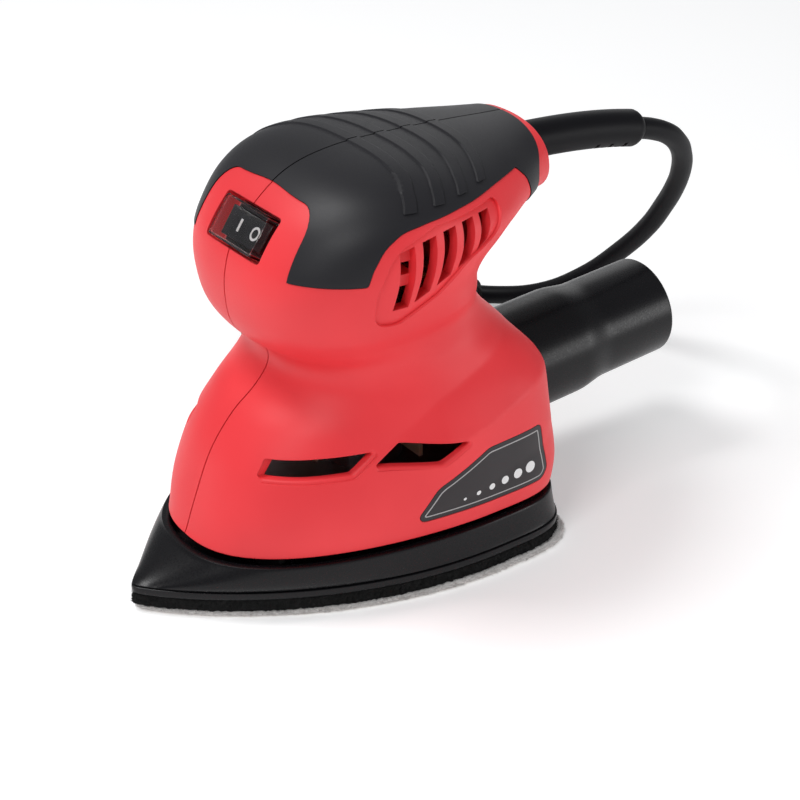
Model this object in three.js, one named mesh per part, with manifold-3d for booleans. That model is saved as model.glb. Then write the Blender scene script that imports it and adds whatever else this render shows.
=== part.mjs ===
// Detail mouse sander: a palm sander with an iron-shaped orbiting shoe and a dust adapter tube.
// Millimetres, +Z up. The origin is on the motor axis, on the underside of the sanding sheet.
// The shoe's tip points to -X, the cord and the dust adapter leave to +X.
import * as THREE from 'three';
import * as BufferGeometryUtils from 'three/addons/utils/BufferGeometryUtils.js';
import Module from 'manifold-3d';

const wasm = await Module();
wasm.setup();

// ---- driving dimensions ----
const FIT_GAP = 0.3; // between pieces that only touch
const LAYER_GAP = 0.05; // between flat layers that rest on each other

const SHOE = { tip: -86.5, heel: 54, half: 50, wide: 19 };
const SHEET_TOP = 1.8;
const PAD_TOP = 6;
const SHOE_LIP = 8.6;
const SHOE_TOP = 18;
const SHOE_WALL = 2.6;
const SHOE_FLOOR = 9.8;

const WALL = 2.6; // housing wall
const SPLIT = 0.15; // half of the gap between the housing halves
const TAIL_WALL_X = 55.2; // inner face of the wall round the strain relief
const BRACKET = { bottom: 25.6, top: 28.6 };
const GRIP_DEPTH = 1.6;
const RIB_HEIGHT = 0.7;
const LABEL_DEPTH = 0.5;

const ORBIT = 0.8; // eccentric offset
const BEARING = { outer: 11, bore: 4, height: 7 }; // 608 size
const UPPER_BEARING = { outer: 9.5, bore: 3, height: 6 }; // 626 size
const LOWER_BEARING_Z = 29;
const UPPER_BEARING_Z = 104.5;
const FAN = { radius: 34, bottom: 40, top: 51 };
const STATOR = { radius: 27, bore: 14.3, bottom: 58, top: 84 };
const FIELD_COIL = { near: 15, far: 21, half: 17, pole: 9, above: 4.5 };
const ARMATURE_RADIUS = 13.5;
const COMMUTATOR = { radius: 9.5, bottom: 91, top: 101 };
const BRUSH_Z = 96;

const SWITCH_CENTRE = new THREE.Vector3(-40.5, 0, 116.8); // middle of the recess's mouth
const SWITCH_LEAN = THREE.MathUtils.degToRad(35.5); // face leans back from upright
const SWITCH_RECESS = { wide: 29.2, tall: 15, depth: 5.5 };
const SWITCH_CASE = { wide: 21.2, tall: 11.8, back: -20, well: -13 };
const SWITCH_CAP = { wide: 22.6, tall: 13.2, base: -4.25, high: 2.2, wall: 0.7 };
const ROCKER_PIVOT = -8;
const ROCKER_TILT = THREE.MathUtils.degToRad(9);

const TUBE = {
  radius: 17.4, root: 19, wall: 2, start: 42, end: 122, endHeight: 45.7, slope: 4.2, shoulder: 40,
};
const RELIEF = { radius: 6.3, start: 54, height: 120.5, flange: 8.3 };
const RELIEF_PATH = [[54, 0, 120.5], [72, 0, 119.8], [88, 0, 118.4], [102, 0, 116.4], [114.5, 0, 113.9]];
const CLAMP = { x: 36, seat: 3.9, screws: [114.3, 126.7] };
const CORD_RADIUS = 3.75;
const PLUG = { bottom: 23.8, high: 14, angle: 2.6 };
const TIE_ANGLE = -0.6;
const COIL = { centre: [76, 111], middle: 39.5, half: 8, bottom: 1.5, top: 23.5 };

// Levels of the housing, from the bottom rim up and round into the tail. Each level is a plane
// through its front and rear point, which are [x, z], with its half width and corner exponents.
const BODY_LEVELS = [
  { front: [-66.6, 20], rear: [54, 20], half: 47, wide: 0.69, nose: [1.7, 2.5], tail: [4.4, 3.7] },
  { front: [-62.2, 32], rear: [54.6, 30], half: 48.3, wide: 0.68, nose: [1.82, 2.75], tail: [4.2, 3.6] },
  { front: [-55.9, 46.5], rear: [53.4, 42], half: 47.4, wide: 0.67, nose: [1.8, 2.7], tail: [4, 3.4] },
  { front: [-47.8, 57], rear: [52, 52], half: 45.2, wide: 0.64, nose: [1.87, 2.5], tail: [3.7, 3.2] },
  { front: [-39.2, 64], rear: [49.5, 62], half: 42.8, wide: 0.6, nose: [2.05, 2.4], tail: [3.4, 3] },
  { front: [-34.2, 70.5], rear: [44.8, 71], half: 39.5, wide: 0.56, nose: [2.2, 2.4], tail: [3, 2.8] },
  { front: [-35.2, 76.5], rear: [37.5, 79], half: 37, wide: 0.53, nose: [2.3, 2.4], tail: [2.6, 2.6] },
  { front: [-42.2, 82.2], rear: [33, 86], half: 37.6, wide: 0.52, nose: [2.4, 2.4], tail: [2.4, 2.5] },
  { front: [-46.5, 88.7], rear: [32, 92], half: 40.3, wide: 0.52, nose: [2.5, 2.5], tail: [2.4, 2.5] },
  { front: [-47.9, 97], rear: [31, 97], half: 42.6, wide: 0.52, nose: [2.5, 2.6], tail: [2.3, 2.5] },
  { front: [-47.4, 105], rear: [31.1, 101], half: 44.3, wide: 0.53, nose: [2.45, 2.7], tail: [2.3, 2.5] },
  { front: [-44.3, 113.5], rear: [32.6, 104.5], half: 45.6, wide: 0.54, nose: [2.45, 2.7], tail: [2.3, 2.5] },
  { front: [-35.4, 124.3], rear: [35.6, 107], half: 46, wide: 0.54, nose: [2.6, 2.8], tail: [2.3, 2.5] },
  { front: [-23.8, 131.6], rear: [39.2, 109], half: 44.6, wide: 0.53, nose: [2.55, 2.8], tail: [2.3, 2.5] },
  { front: [-8, 134.7], rear: [43.6, 109.6], half: 41.2, wide: 0.52, nose: [2.5, 2.7], tail: [2.2, 2.4] },
  { front: [12, 134.8], rear: [48, 109.4], half: 35.6, wide: 0.5, nose: [2.5, 2.5], tail: [2.2, 2.3] },
  { front: [32, 134], rear: [52, 109], half: 29.6, wide: 0.5, nose: [2.3, 2.4], tail: [2.2, 2.2] },
  { front: [47, 133], rear: [56, 108.4], half: 24, wide: 0.5, nose: [2.3, 2.4], tail: [2.2, 2.2] },
  { front: [57.5, 132.4], rear: [60, 107.6], half: 20.5, wide: 0.5, nose: [2.3, 2.3], tail: [2.2, 2.2] },
];

// Side outlines, as [x, z].
const GRIP_OUTLINE = [
  [-60, 109], [-25.7, 109], [-24, 113], [-20.5, 118.5], [-14.4, 122.6], [-5.5, 124.3],
  [6.3, 125.3], [25, 126.1], [37, 126.2], [41, 123], [43, 118.5], [45, 105], [51, 105],
  [54.3, 142], [-60, 142],
];
// The red front panel's outline seen from the front, as [y, z]; the grip stops around it.
const FACE_OUTLINE = [
  [-26.2, 100], [26.2, 100], [25.5, 115.3], [24.4, 121.5], [22.5, 124.1], [19.1, 126.3], [13, 127.9],
  [-13, 127.9], [-19.1, 126.3], [-22.5, 124.1], [-24.4, 121.5], [-25.5, 115.3],
];
const LABEL_OUTLINE = [
  [-9.2, 26.1], [36.6, 26.1], [39.8, 29.6], [36.3, 45.6], [34.4, 46.9], [13.8, 46.9], [-3, 37.9],
  [-10.8, 28.2],
];
const VENT_PANEL = [
  [-20.4, 115.4], [-22.6, 104], [-20.6, 95.9], [-15, 94.7], [-1.3, 101.5], [8, 110], [19.5, 115.8],
  [22.6, 123], [20.5, 124.2], [-3, 122.6], [-14.5, 120.4],
];
const FRONT_SLOT = [
  [-52.1, 45.4], [-48.5, 50.4], [-36.8, 51.4], [-21.6, 52.2], [-28.8, 46.5], [-40.7, 45.6],
];
const REAR_SLOT = [[-22.2, 47.9], [-14.1, 53.7], [6.9, 51.2], [-2.6, 46.1]];

const HOUSING_SCREWS = [[-50, 36], [36.5, 36], [-37, 95], [23, 97], [27, 124.5], [-4, 126.5]];
const LEG_PLACES = [[-46, 17], [-46, -17], [34, 30], [34, -30]];

const CORD_ROUTE = [
  [115.1, 0, 113.8], [122, 0.2, 111.8], [130, 1, 108.3], [137, 3, 103.3], [143.5, 6.5, 96.5],
  [149, 11.5, 87.5], [153, 18, 77.5], [155.5, 25.5, 67], [156.5, 33.5, 56], [155.5, 48, 40],
  [152, 65, 24], [146.5, 83, 12], [139, 100.5, 6], [129.5, 116, 4.2],
];

// ---- materials ----
function finish(color, roughness, metalness = 0, extra = {}) {
  return new THREE.MeshStandardMaterial({ color, roughness, metalness, ...extra });
}
const MATERIAL = {
  red: finish(0xe8434b, 0.45),
  grip: finish(0x2f2e34, 0.7),
  black: finish(0x1c1b20, 0.35),
  rubber: finish(0x1a191e, 0.6),
  foam: finish(0x181818, 1),
  sheet: finish(0xd4d2d3, 0.95),
  label: finish(0x393335, 0.4),
  clear: finish(0xd8d4d2, 0.08, 0, { transparent: true, opacity: 0.3 }),
  steel: finish(0xb8bac0, 0.3, 1),
  lamination: finish(0x6a6c72, 0.5, 0.9),
  copper: finish(0xb56a3c, 0.35, 0.9),
  nylon: finish(0xd8c4a6, 0.6),
  alloy: finish(0xa9abb0, 0.5, 0.9),
  brass: finish(0xc9a85a, 0.35, 1),
  carbon: finish(0x2a2a2c, 0.8),
};

// ---- solids ----
function toSolid(geometry) {
  const bare = geometry.clone();
  bare.deleteAttribute('normal');
  bare.deleteAttribute('uv');
  const merged = BufferGeometryUtils.mergeVertices(bare, 1e-4);
  const index = merged.index.array;
  const kept = [];
  for (let i = 0; i < index.length; i += 3) {
    const [a, b, c] = [index[i], index[i + 1], index[i + 2]];
    if (a !== b && b !== c && c !== a) kept.push(a, b, c);
  }
  const vertProperties = new Float32Array(merged.attributes.position.array);
  return new wasm.Manifold(new wasm.Mesh({ numProp: 3, vertProperties, triVerts: new Uint32Array(kept) }));
}

function toGeometry(manifold) {
  const mesh = manifold.getMesh();
  const geometry = new THREE.BufferGeometry();
  geometry.setAttribute('position', new THREE.BufferAttribute(new Float32Array(mesh.vertProperties), 3));
  geometry.setIndex(new THREE.BufferAttribute(new Uint32Array(mesh.triVerts), 1));
  geometry.computeVertexNormals();
  return geometry;
}

const join = (first, ...others) => others.reduce((sum, other) => sum.add(other), first);
const cut = (first, ...others) => others.reduce((rest, other) => rest.subtract(other), first);

function box(x0, x1, y0, y1, z0, z1) {
  const geometry = new THREE.BoxGeometry(x1 - x0, y1 - y0, z1 - z0);
  return toSolid(geometry.translate((x0 + x1) / 2, (y0 + y1) / 2, (z0 + z1) / 2));
}

// A shape turned about the Z axis through [x, y]; its outline is [radius, z] pairs.
function turned(outline, [x, y] = [0, 0], segments = 24) {
  const points = outline.map(([radius, z]) => new THREE.Vector2(radius, z));
  const geometry = new THREE.LatheGeometry(points, segments);
  return toSolid(geometry.rotateX(Math.PI / 2).translate(x, y, 0));
}

function rod(radius, z0, z1, place, segments) {
  return turned([[0, z0], [radius, z0], [radius, z1], [0, z1]], place, segments);
}

function ring(inner, outer, z0, z1, place, segments) {
  return turned([[inner, z0], [outer, z0], [outer, z1], [inner, z1], [inner, z0]], place, segments);
}

// A rod along Y between y0 and y1, through [x, z].
function crossRod(radius, y0, y1, [x, z], segments = 12) {
  const geometry = new THREE.CylinderGeometry(radius, radius, y1 - y0, segments);
  return toSolid(geometry.translate(x, (y0 + y1) / 2, z));
}

function outlineShape(outline) {
  return new THREE.Shape(outline.map(([a, b]) => new THREE.Vector2(a, b)));
}

// An [x, z] outline run along Y from y0 to y1.
function sidePrism(outline, y0 = -60, y1 = 60) {
  const geometry = new THREE.ExtrudeGeometry(outlineShape(outline), { depth: y1 - y0, bevelEnabled: false });
  return toSolid(geometry.rotateX(Math.PI / 2).translate(0, y1, 0));
}

// A [y, z] outline run along X from x0 to x1.
function frontPrism(outline, x0, x1) {
  const geometry = new THREE.ExtrudeGeometry(outlineShape(outline), { depth: x1 - x0, bevelEnabled: false });
  return toSolid(geometry.rotateX(Math.PI / 2).rotateZ(Math.PI / 2).translate(x0, 0, 0));
}

// Moves every edge of an outline outwards by a distance.
function grown(outline, distance) {
  const area = THREE.ShapeUtils.area(outline.map(([x, y]) => ({ x, y })));
  const side = Math.sign(area) * distance;
  return outline.map((point, i) => {
    const before = outline[(i + outline.length - 1) % outline.length];
    const after = outline[(i + 1) % outline.length];
    const inDir = new THREE.Vector2(point[0] - before[0], point[1] - before[1]).normalize();
    const outDir = new THREE.Vector2(after[0] - point[0], after[1] - point[1]).normalize();
    const normal = new THREE.Vector2(inDir.y + outDir.y, -inDir.x - outDir.x).normalize();
    const stretch = side / Math.max(0.4, normal.dot(new THREE.Vector2(inDir.y, -inDir.x)));
    return [point[0] + normal.x * stretch, point[1] + normal.y * stretch];
  });
}

// ---- lofted shapes ----
// A closed solid through rings of points, each ring counter-clockwise seen from the next one.
function loft(rings) {
  const positions = rings.flat().flatMap((point) => point.toArray());
  const count = rings[0].length;
  const index = [];
  for (let r = 0; r < rings.length - 1; r += 1) {
    for (let i = 0; i < count; i += 1) {
      const a = r * count + i;
      const b = r * count + ((i + 1) % count);
      index.push(a, b, b + count, a, b + count, a + count);
    }
  }
  [0, rings.length - 1].forEach((r) => {
    const centre = new THREE.Vector3();
    rings[r].forEach((point) => centre.addScaledVector(point, 1 / count));
    const middle = positions.length / 3;
    positions.push(...centre.toArray());
    for (let i = 0; i < count; i += 1) {
      const a = r * count + i;
      const b = r * count + ((i + 1) % count);
      index.push(middle, ...(r === 0 ? [b, a] : [a, b]));
    }
  });
  const geometry = new THREE.BufferGeometry();
  geometry.setAttribute('position', new THREE.Float32BufferAttribute(positions, 3));
  geometry.setIndex(index);
  return toSolid(geometry);
}

function spline(values, t) {
  const last = values.length - 1;
  const start = Math.min(Math.floor(t * last), last - 1);
  const u = t * last - start;
  const at = (i) => values[THREE.MathUtils.clamp(i, 0, last)];
  const [a, b, c, d] = [at(start - 1), at(start), at(start + 1), at(start + 2)];
  const bend = 2 * a - 5 * b + 4 * c - d;
  const twist = 3 * b - a - 3 * c + d;
  return 0.5 * (2 * b + (c - a) * u + bend * u ** 2 + twist * u ** 3);
}

function levelAt(t) {
  const pick = (value) => spline(BODY_LEVELS.map(value), t);
  const pair = (key) => [pick((level) => level[key][0]), pick((level) => level[key][1])];
  return {
    front: pair('front'),
    rear: pair('rear'),
    half: pick((level) => level.half),
    wide: pick((level) => level.wide),
    nose: pair('nose'),
    tail: pair('tail'),
  };
}

// One point of a level: a superellipse on each side of the widest place.
function levelPoint(level, angle, inset) {
  const front = new THREE.Vector3(level.front[0], 0, level.front[1]);
  const rear = new THREE.Vector3(level.rear[0], 0, level.rear[1]);
  const along = rear.clone().sub(front).normalize();
  front.addScaledVector(along, inset);
  rear.addScaledVector(along, -inset);
  const towardsFront = Math.cos(angle) < 0;
  const [lengthPower, widthPower] = towardsFront ? level.nose : level.tail;
  const reach = Math.abs(Math.cos(angle)) ** (2 / lengthPower);
  const spread = Math.abs(Math.sin(angle)) ** (2 / widthPower);
  const point = front.clone().lerp(rear, level.wide).lerp(towardsFront ? front : rear, reach);
  point.y = (level.half - inset) * spread * Math.sign(Math.sin(angle));
  return point;
}

function levelRing(level, inset, around) {
  return Array.from({ length: around }, (_, i) => levelPoint(level, (2 * Math.PI * i) / around, inset));
}

// The housing's outer form, moved inwards by inset.
function bodyForm(inset = 0, around = 24, steps = 18) {
  const rings = [];
  for (let i = 0; i <= steps; i += 1) rings.push(levelRing(levelAt(i / steps), inset, around));
  if (inset > 0) {
    const below = rings[0].map((point) => point.clone().add(new THREE.Vector3(0, 0, -3)));
    rings.unshift(below);
  }
  return loft(rings);
}

// The shoe's plan outline at a height; share runs from 0 at the lip to 1 at the upper rim.
function shoeLevel(share, z) {
  const rim = BODY_LEVELS[0];
  const blend = (a, b) => THREE.MathUtils.lerp(a, b, share);
  const lipWide = (SHOE.wide - SHOE.tip) / (SHOE.heel - SHOE.tip);
  return {
    front: [blend(SHOE.tip, rim.front[0] - 1.5), z],
    rear: [blend(SHOE.heel, rim.rear[0] - 0.6), z],
    half: blend(SHOE.half, rim.half + 0.6),
    wide: blend(lipWide, rim.wide),
    nose: [blend(2, rim.nose[0]), blend(1.15, rim.nose[1])],
    tail: [blend(4.6, rim.tail[0]), blend(4.2, rim.tail[1])],
  };
}

function shoeForm(levels, around = 32) {
  return loft(levels.map(([share, z, inset]) => levelRing(shoeLevel(share, z), inset, around)));
}

// ---- shoe, pad and sheet ----
function makeShoe() {
  const outer = shoeForm([
    [0, PAD_TOP + LAYER_GAP, 0.5], [0, SHOE_LIP, 0], [0, SHOE_LIP + 0.1, 1], [0, SHOE_LIP + 0.7, 1],
    [0.3, 11.6, 0.4], [0.7, 15, 0.1], [1, SHOE_TOP, 0],
  ]);
  const inner = shoeForm([
    [0.1, SHOE_FLOOR, 2.4 + SHOE_WALL], [0.6, 14.2, 0.4 + SHOE_WALL], [1.02, SHOE_TOP + 2, SHOE_WALL],
  ]);
  const hub = rod(BEARING.outer + 3, SHOE_FLOOR - 1, 17, [ORBIT, 0], 28);
  const pocket = rod(BEARING.outer + 0.05, SHOE_FLOOR, 20, [ORBIT, 0], 28);
  let shoe = join(cut(outer, inner), hub);
  LEG_PLACES.forEach((place) => {
    const cup = rod(7, SHOE_FLOOR - 1, 12, place, 20);
    const legSeat = rod(5.3, SHOE_FLOOR, 14, place, 20);
    const screwHole = rod(1.8, 4, 12, place, 12);
    const screwHead = rod(3.6, 4, 8.2, place, 16);
    shoe = cut(join(shoe, cup), legSeat, screwHole, screwHead);
  });
  return cut(shoe, pocket);
}

const makeHookPad = () => shoeForm([
  [0, SHEET_TOP + LAYER_GAP, 0.6], [0, SHEET_TOP + 1.2, 0.3], [0, PAD_TOP, 0.8],
]);
const makeSheet = () => shoeForm([[0, 0, 0.8], [0, 0.7, 0.1], [0, SHEET_TOP, 0.5]]);

const makeLeg = (place) => turned([
  [0, SHOE_FLOOR + LAYER_GAP], [5, SHOE_FLOOR + LAYER_GAP], [5, 12.5], [4, 14.2], [5, 16.2], [4, 18.2],
  [4.6, 20], [4.6, 24.4], [0, 24.4],
], place, 14);

const makeLegScrew = (place) => turned([
  [0, 6.4], [3.2, 6.4], [3.2, 8], [1.4, 8.05], [1.4, 9.7], [0, 9.7],
], place, 12);

// ---- motor ----
const makeShaft = () => turned([
  [0, 21], [3.95, 21], [3.95, 103], [2.95, 103.2], [2.95, 112], [0, 112],
], [0, 0], 28);

function makeEccentric() {
  const pin = rod(3.95, 10.2, 18, [ORBIT, 0], 28);
  const hub = rod(8, 17.6, 27.6, [0, 0], 28);
  const weight = cut(rod(19, 18.6, 25.4, [0, 0], 28), box(-2, 30, -30, 30, 10, 40));
  return cut(join(pin, hub, weight), rod(4, 20.9, 30, [0, 0], 28));
}

const bearing = (size, z, place, shaft) => turned([
  [shaft, z], [size.outer, z], [size.outer, z + size.height], [shaft, z + size.height], [shaft, z],
], place, 28);

function makeFan() {
  const hub = ring(4, 9, FAN.bottom, FAN.top, [0, 0], 24);
  const plate = ring(6, FAN.radius, FAN.top - 1.6, FAN.top, [0, 0], 32);
  let fan = join(hub, plate);
  const blades = 12;
  for (let i = 0; i < blades; i += 1) {
    const geometry = new THREE.BoxGeometry(18.5, 1.3, FAN.top - FAN.bottom - 2);
    geometry.translate(FAN.radius - 10.3, 0, (FAN.top + FAN.bottom) / 2);
    geometry.rotateZ((2 * Math.PI * i) / blades);
    fan = fan.add(toSolid(geometry));
  }
  return fan;
}

// The field coil round the pole on one side; side is -1 for the front and 1 for the rear.
function coilForm(side, extra) {
  const { near, far, half, pole, above } = FIELD_COIL;
  const [low, high] = side > 0 ? [near, far] : [-far, -near];
  const [z0, z1] = [STATOR.bottom - above, STATOR.top + above];
  const wires = above - 0.5;
  const outer = box(low - extra, high + extra, -half - extra, half + extra, z0 - extra, z1 + extra);
  const window = box(low - 2, high + 2, extra - pole, pole - extra, z0 + wires + extra, z1 - wires - extra);
  return cut(outer, window);
}

function makeStator() {
  const stack = ring(STATOR.bore, STATOR.radius, STATOR.bottom, STATOR.top, [0, 0], 32);
  return cut(stack, coilForm(-1, FIT_GAP), coilForm(1, FIT_GAP));
}

function makeArmature() {
  let core = ring(4, ARMATURE_RADIUS, STATOR.bottom, STATOR.top, [0, 0], 28);
  const slots = 12;
  for (let i = 0; i < slots; i += 1) {
    const geometry = new THREE.BoxGeometry(4, 1.6, 60).translate(ARMATURE_RADIUS, 0, 70);
    core = core.subtract(toSolid(geometry.rotateZ((2 * Math.PI * (i + 0.5)) / slots)));
  }
  return core;
}

const makeWinding = (z0, z1) => turned([
  [4.2, z0], [9, z0], [12, z0 + 1.5], [12, z1 - 1.5], [9, z1], [4.2, z1], [4.2, z0],
], [0, 0], 16);

function makeCommutator() {
  const bars = 12;
  let body = ring(4, COMMUTATOR.radius, COMMUTATOR.bottom, COMMUTATOR.top, [0, 0], 28);
  for (let i = 0; i < bars; i += 1) {
    const geometry = new THREE.BoxGeometry(1.6, 0.5, 9).translate(COMMUTATOR.radius, 0, COMMUTATOR.top - 4);
    body = body.subtract(toSolid(geometry.rotateZ((2 * Math.PI * (i + 0.5)) / bars)));
  }
  return body;
}

// Brush parts on one side; side is -1 or 1 along Y.
const sideBox = (side, half, y0, y1, z0, z1) => (
  side > 0 ? box(-half, half, y0, y1, z0, z1) : box(-half, half, -y1, -y0, z0, z1)
);
const makeBrush = (side) => sideBox(side, 2.5, COMMUTATOR.radius + 0.2, 21, BRUSH_Z - 3, BRUSH_Z + 3);
const makeBrushHolder = (side) => cut(
  sideBox(side, 4.2, 13, 31, BRUSH_Z - 4.7, BRUSH_Z + 4.7)
    .add(sideBox(side, 7, 25, 28, BRUSH_Z - 7, BRUSH_Z + 7)),
  sideBox(side, 2.8, 10, 29.5, BRUSH_Z - 3.3, BRUSH_Z + 3.3),
);
const makeBrushSpring = (side) => {
  const [y0, y1] = side > 0 ? [21.3, 29.2] : [-29.2, -21.3];
  return cut(crossRod(2.2, y0, y1, [0, BRUSH_Z], 20), crossRod(1.5, y0 - 1, y1 + 1, [0, BRUSH_Z], 20));
};

// ---- bearing bracket: a plate across the lower housing, with the lower bearing's seat ----
function makeBracket() {
  const plate = bodyForm(WALL + 1).intersect(box(-60, 38, -50, 50, BRACKET.bottom, BRACKET.top));
  const seat = rod(BEARING.outer + 2.6, BRACKET.bottom, LOWER_BEARING_Z + BEARING.height, [0, 0], 28);
  const sockets = LEG_PLACES.map((place) => rod(8.6, 20.6, BRACKET.top - 0.5, place, 24));
  return cut(
    join(plate, seat, ...sockets),
    rod(BEARING.outer + 0.05, LOWER_BEARING_Z - LAYER_GAP, 60, [0, 0], 28),
    rod(9.4, 20, 40, [0, 0], 28),
    ...LEG_PLACES.map((place) => rod(6.8, 18, 25, place, 24)),
  );
}

// ---- housing ----
const switchFrame = new THREE.Group();
switchFrame.position.copy(SWITCH_CENTRE);
switchFrame.rotation.y = SWITCH_LEAN - Math.PI / 2;
switchFrame.updateMatrixWorld();

// The switch's own axes: x up its face, y across the sander, z out of its face.
function switchBox(halfTall, halfWide, z0, z1) {
  const geometry = new THREE.BoxGeometry(2 * halfTall, 2 * halfWide, z1 - z0).translate(0, 0, (z0 + z1) / 2);
  return toSolid(geometry.applyMatrix4(switchFrame.matrixWorld));
}

// An outline of [radius, distance] turned about the dust port's axis, which climbs slightly to the rear.
function onPortAxis(outline, segments = 32) {
  const slope = THREE.MathUtils.degToRad(TUBE.slope);
  const points = outline.map(([radius, distance]) => new THREE.Vector2(radius, distance));
  const geometry = new THREE.LatheGeometry(points, segments).rotateZ(-Math.PI / 2).rotateY(-slope);
  const startHeight = TUBE.endHeight - (TUBE.end - TUBE.start) * Math.tan(slope);
  return toSolid(geometry.translate(TUBE.start, 0, startHeight));
}

const outerForm = bodyForm();
const skinLayer = (depth, rise = 0) => cut(rise > 0 ? bodyForm(-rise) : outerForm, bodyForm(depth));

// The housing's half width at [x, z]: the widest point of a thin rod inside its form.
function surfaceWidth(place) {
  const core = toGeometry(outerForm.intersect(crossRod(0.2, 0, 60, place)));
  core.computeBoundingBox();
  return core.boundingBox.max.y;
}

const screwSeat = (place) => Math.min(surfaceWidth(place) - 3, 14);

// Five upright slots whose tops and bottoms follow the panel's edges.
function ventSlots() {
  const top = (x) => 121.9 - 0.0048 * (x - 16) ** 2;
  const bottom = (x) => Math.max(99.2, 105.5 + 0.53 * x);
  return Array.from({ length: 5 }, (_, i) => {
    const low = [-17 + 7.15 * i, -11.8 + 6.9 * i];
    const high = [-15.5 + 7.3 * i, -10.8 + 7.25 * i];
    const middle = low.map((x, k) => [(x + high[k]) / 2 + 0.5, (bottom(x) + top(high[k])) / 2]);
    return [
      [low[0], bottom(low[0])], [low[1], bottom(low[1])], middle[1],
      [high[1], top(high[1])], [high[0], top(high[0])], middle[0],
    ];
  });
}

function makeInnerRibs() {
  const thinInside = bodyForm(0.8);
  const slab = (z0, z1) => box(-80, 80, -60, 60, z0, z1);
  const bracketLedge = cut(slab(BRACKET.top + FIT_GAP, BRACKET.top + 2.5), bodyForm(WALL + 3.5));
  const statorRib = cut(slab(69, 73), rod(STATOR.radius + FIT_GAP, 50, 100, [0, 0], 32));
  const bearingShelf = cut(slab(103.6, 111), rod(13.05, 90, 120, [0, 0], 28));
  const [recessTall, recessWide] = [SWITCH_RECESS.tall / 2 + 2.8, SWITCH_RECESS.wide / 2 + 2.8];
  const switchBlock = switchBox(recessTall, recessWide, -SWITCH_RECESS.depth - 3.9, 0);
  const portSleeve = onPortAxis([[0, -1.5], [22.2, -1.5], [22.2, 16], [0, 16]]);
  const bosses = HOUSING_SCREWS.map((place) => crossRod(5, -60, 60, place));
  const ribs = join(bracketLedge, statorRib, bearingShelf, switchBlock, portSleeve, ...bosses);
  return ribs.intersect(thinInside);
}

function makeHousing() {
  const recess = SWITCH_RECESS;
  const cavity = cut(bodyForm(WALL), box(TAIL_WALL_X, 80, -50, 50, 95, 150));
  const face = frontPrism(grown(FACE_OUTLINE, -FIT_GAP), -70, -22);
  const gripRecess = cut(sidePrism(grown(GRIP_OUTLINE, FIT_GAP)), face);
  const shell = join(cut(outerForm, cavity), makeInnerRibs());
  const screwHoles = HOUSING_SCREWS.flatMap((place) => [
    crossRod(1.7, -10, 60, place, 14),
    crossRod(3.7, screwSeat(place), 60, place),
  ]);
  return cut(
    shell,
    skinLayer(GRIP_DEPTH + FIT_GAP, 1).intersect(gripRecess),
    skinLayer(LABEL_DEPTH + FIT_GAP, 1).intersect(sidePrism(grown(LABEL_OUTLINE, FIT_GAP))),
    skinLayer(0.8, 1).intersect(sidePrism(VENT_PANEL)),
    ...ventSlots().map((slot) => sidePrism(slot)),
    sidePrism(FRONT_SLOT),
    sidePrism(REAR_SLOT),
    switchBox(recess.tall / 2, recess.wide / 2, -recess.depth, 14),
    switchBox(SWITCH_CASE.tall / 2 + FIT_GAP, SWITCH_CASE.wide / 2 + FIT_GAP, -30, 0),
    onPortAxis([[0, -6], [TUBE.root + FIT_GAP, -6], [TUBE.root + FIT_GAP, 30], [0, 30]]),
    reliefRod(RELIEF.radius + FIT_GAP),
    ...screwHoles,
  );
}

// side is -1 for the right half, which faces -Y, and 1 for the left half.
const halfSpace = (side) => box(-100, 100, side > 0 ? SPLIT : -60, side > 0 ? 60 : -SPLIT, 0, 160);

// The cord clamp's posts stand on the right half and reach past the parting plane.
function withClampPosts(half) {
  const posts = CLAMP.screws.map((z) => crossRod(2.6, -40, CLAMP.seat - LAYER_GAP, [CLAMP.x, z], 14));
  const holes = CLAMP.screws.map((z) => crossRod(1.3, -8, 20, [CLAMP.x, z], 12));
  return cut(join(half, join(...posts).intersect(bodyForm(GRIP_DEPTH + 2 * FIT_GAP))), ...holes);
}

function ribOutline(i) {
  const x = -11.7 + 10 * i;
  const rise = [[0, 127.1 + 0.4 * i], [3.2, 131], [6.5, 133.4], [10, 138]];
  const front = rise.map(([dx, z]) => [x + dx, z]);
  const back = rise.map(([dx, z]) => [x + dx + 3.7, z]).reverse();
  return [...front, ...back];
}

function makeGrip() {
  const region = cut(sidePrism(GRIP_OUTLINE), frontPrism(FACE_OUTLINE, -70, -22));
  const layer = skinLayer(GRIP_DEPTH).intersect(region);
  const ribs = [0, 1, 2, 3].map((i) => skinLayer(0.3, RIB_HEIGHT).intersect(sidePrism(ribOutline(i))));
  return join(layer, ...ribs);
}

const makeLabel = () => skinLayer(LABEL_DEPTH).intersect(sidePrism(LABEL_OUTLINE));

function makeHousingScrew(place) {
  const seat = screwSeat(place) + LAYER_GAP;
  return join(crossRod(1.4, -9, seat + 0.5, place, 12), crossRod(3.2, seat, seat + 2.2, place, 16));
}

// ---- switch ----
function makeSwitchBody() {
  const { wide, tall, back, well } = SWITCH_CASE;
  const floor = LAYER_GAP - SWITCH_RECESS.depth;
  const flange = switchBox(tall / 2 + 0.8, wide / 2 + 0.8, floor, SWITCH_CAP.base - LAYER_GAP);
  const body = switchBox(tall / 2, wide / 2, back, floor + 0.5);
  return cut(join(flange, body), switchBox(tall / 2 - 1, wide / 2 - 0.7, well, 2));
}

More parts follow.
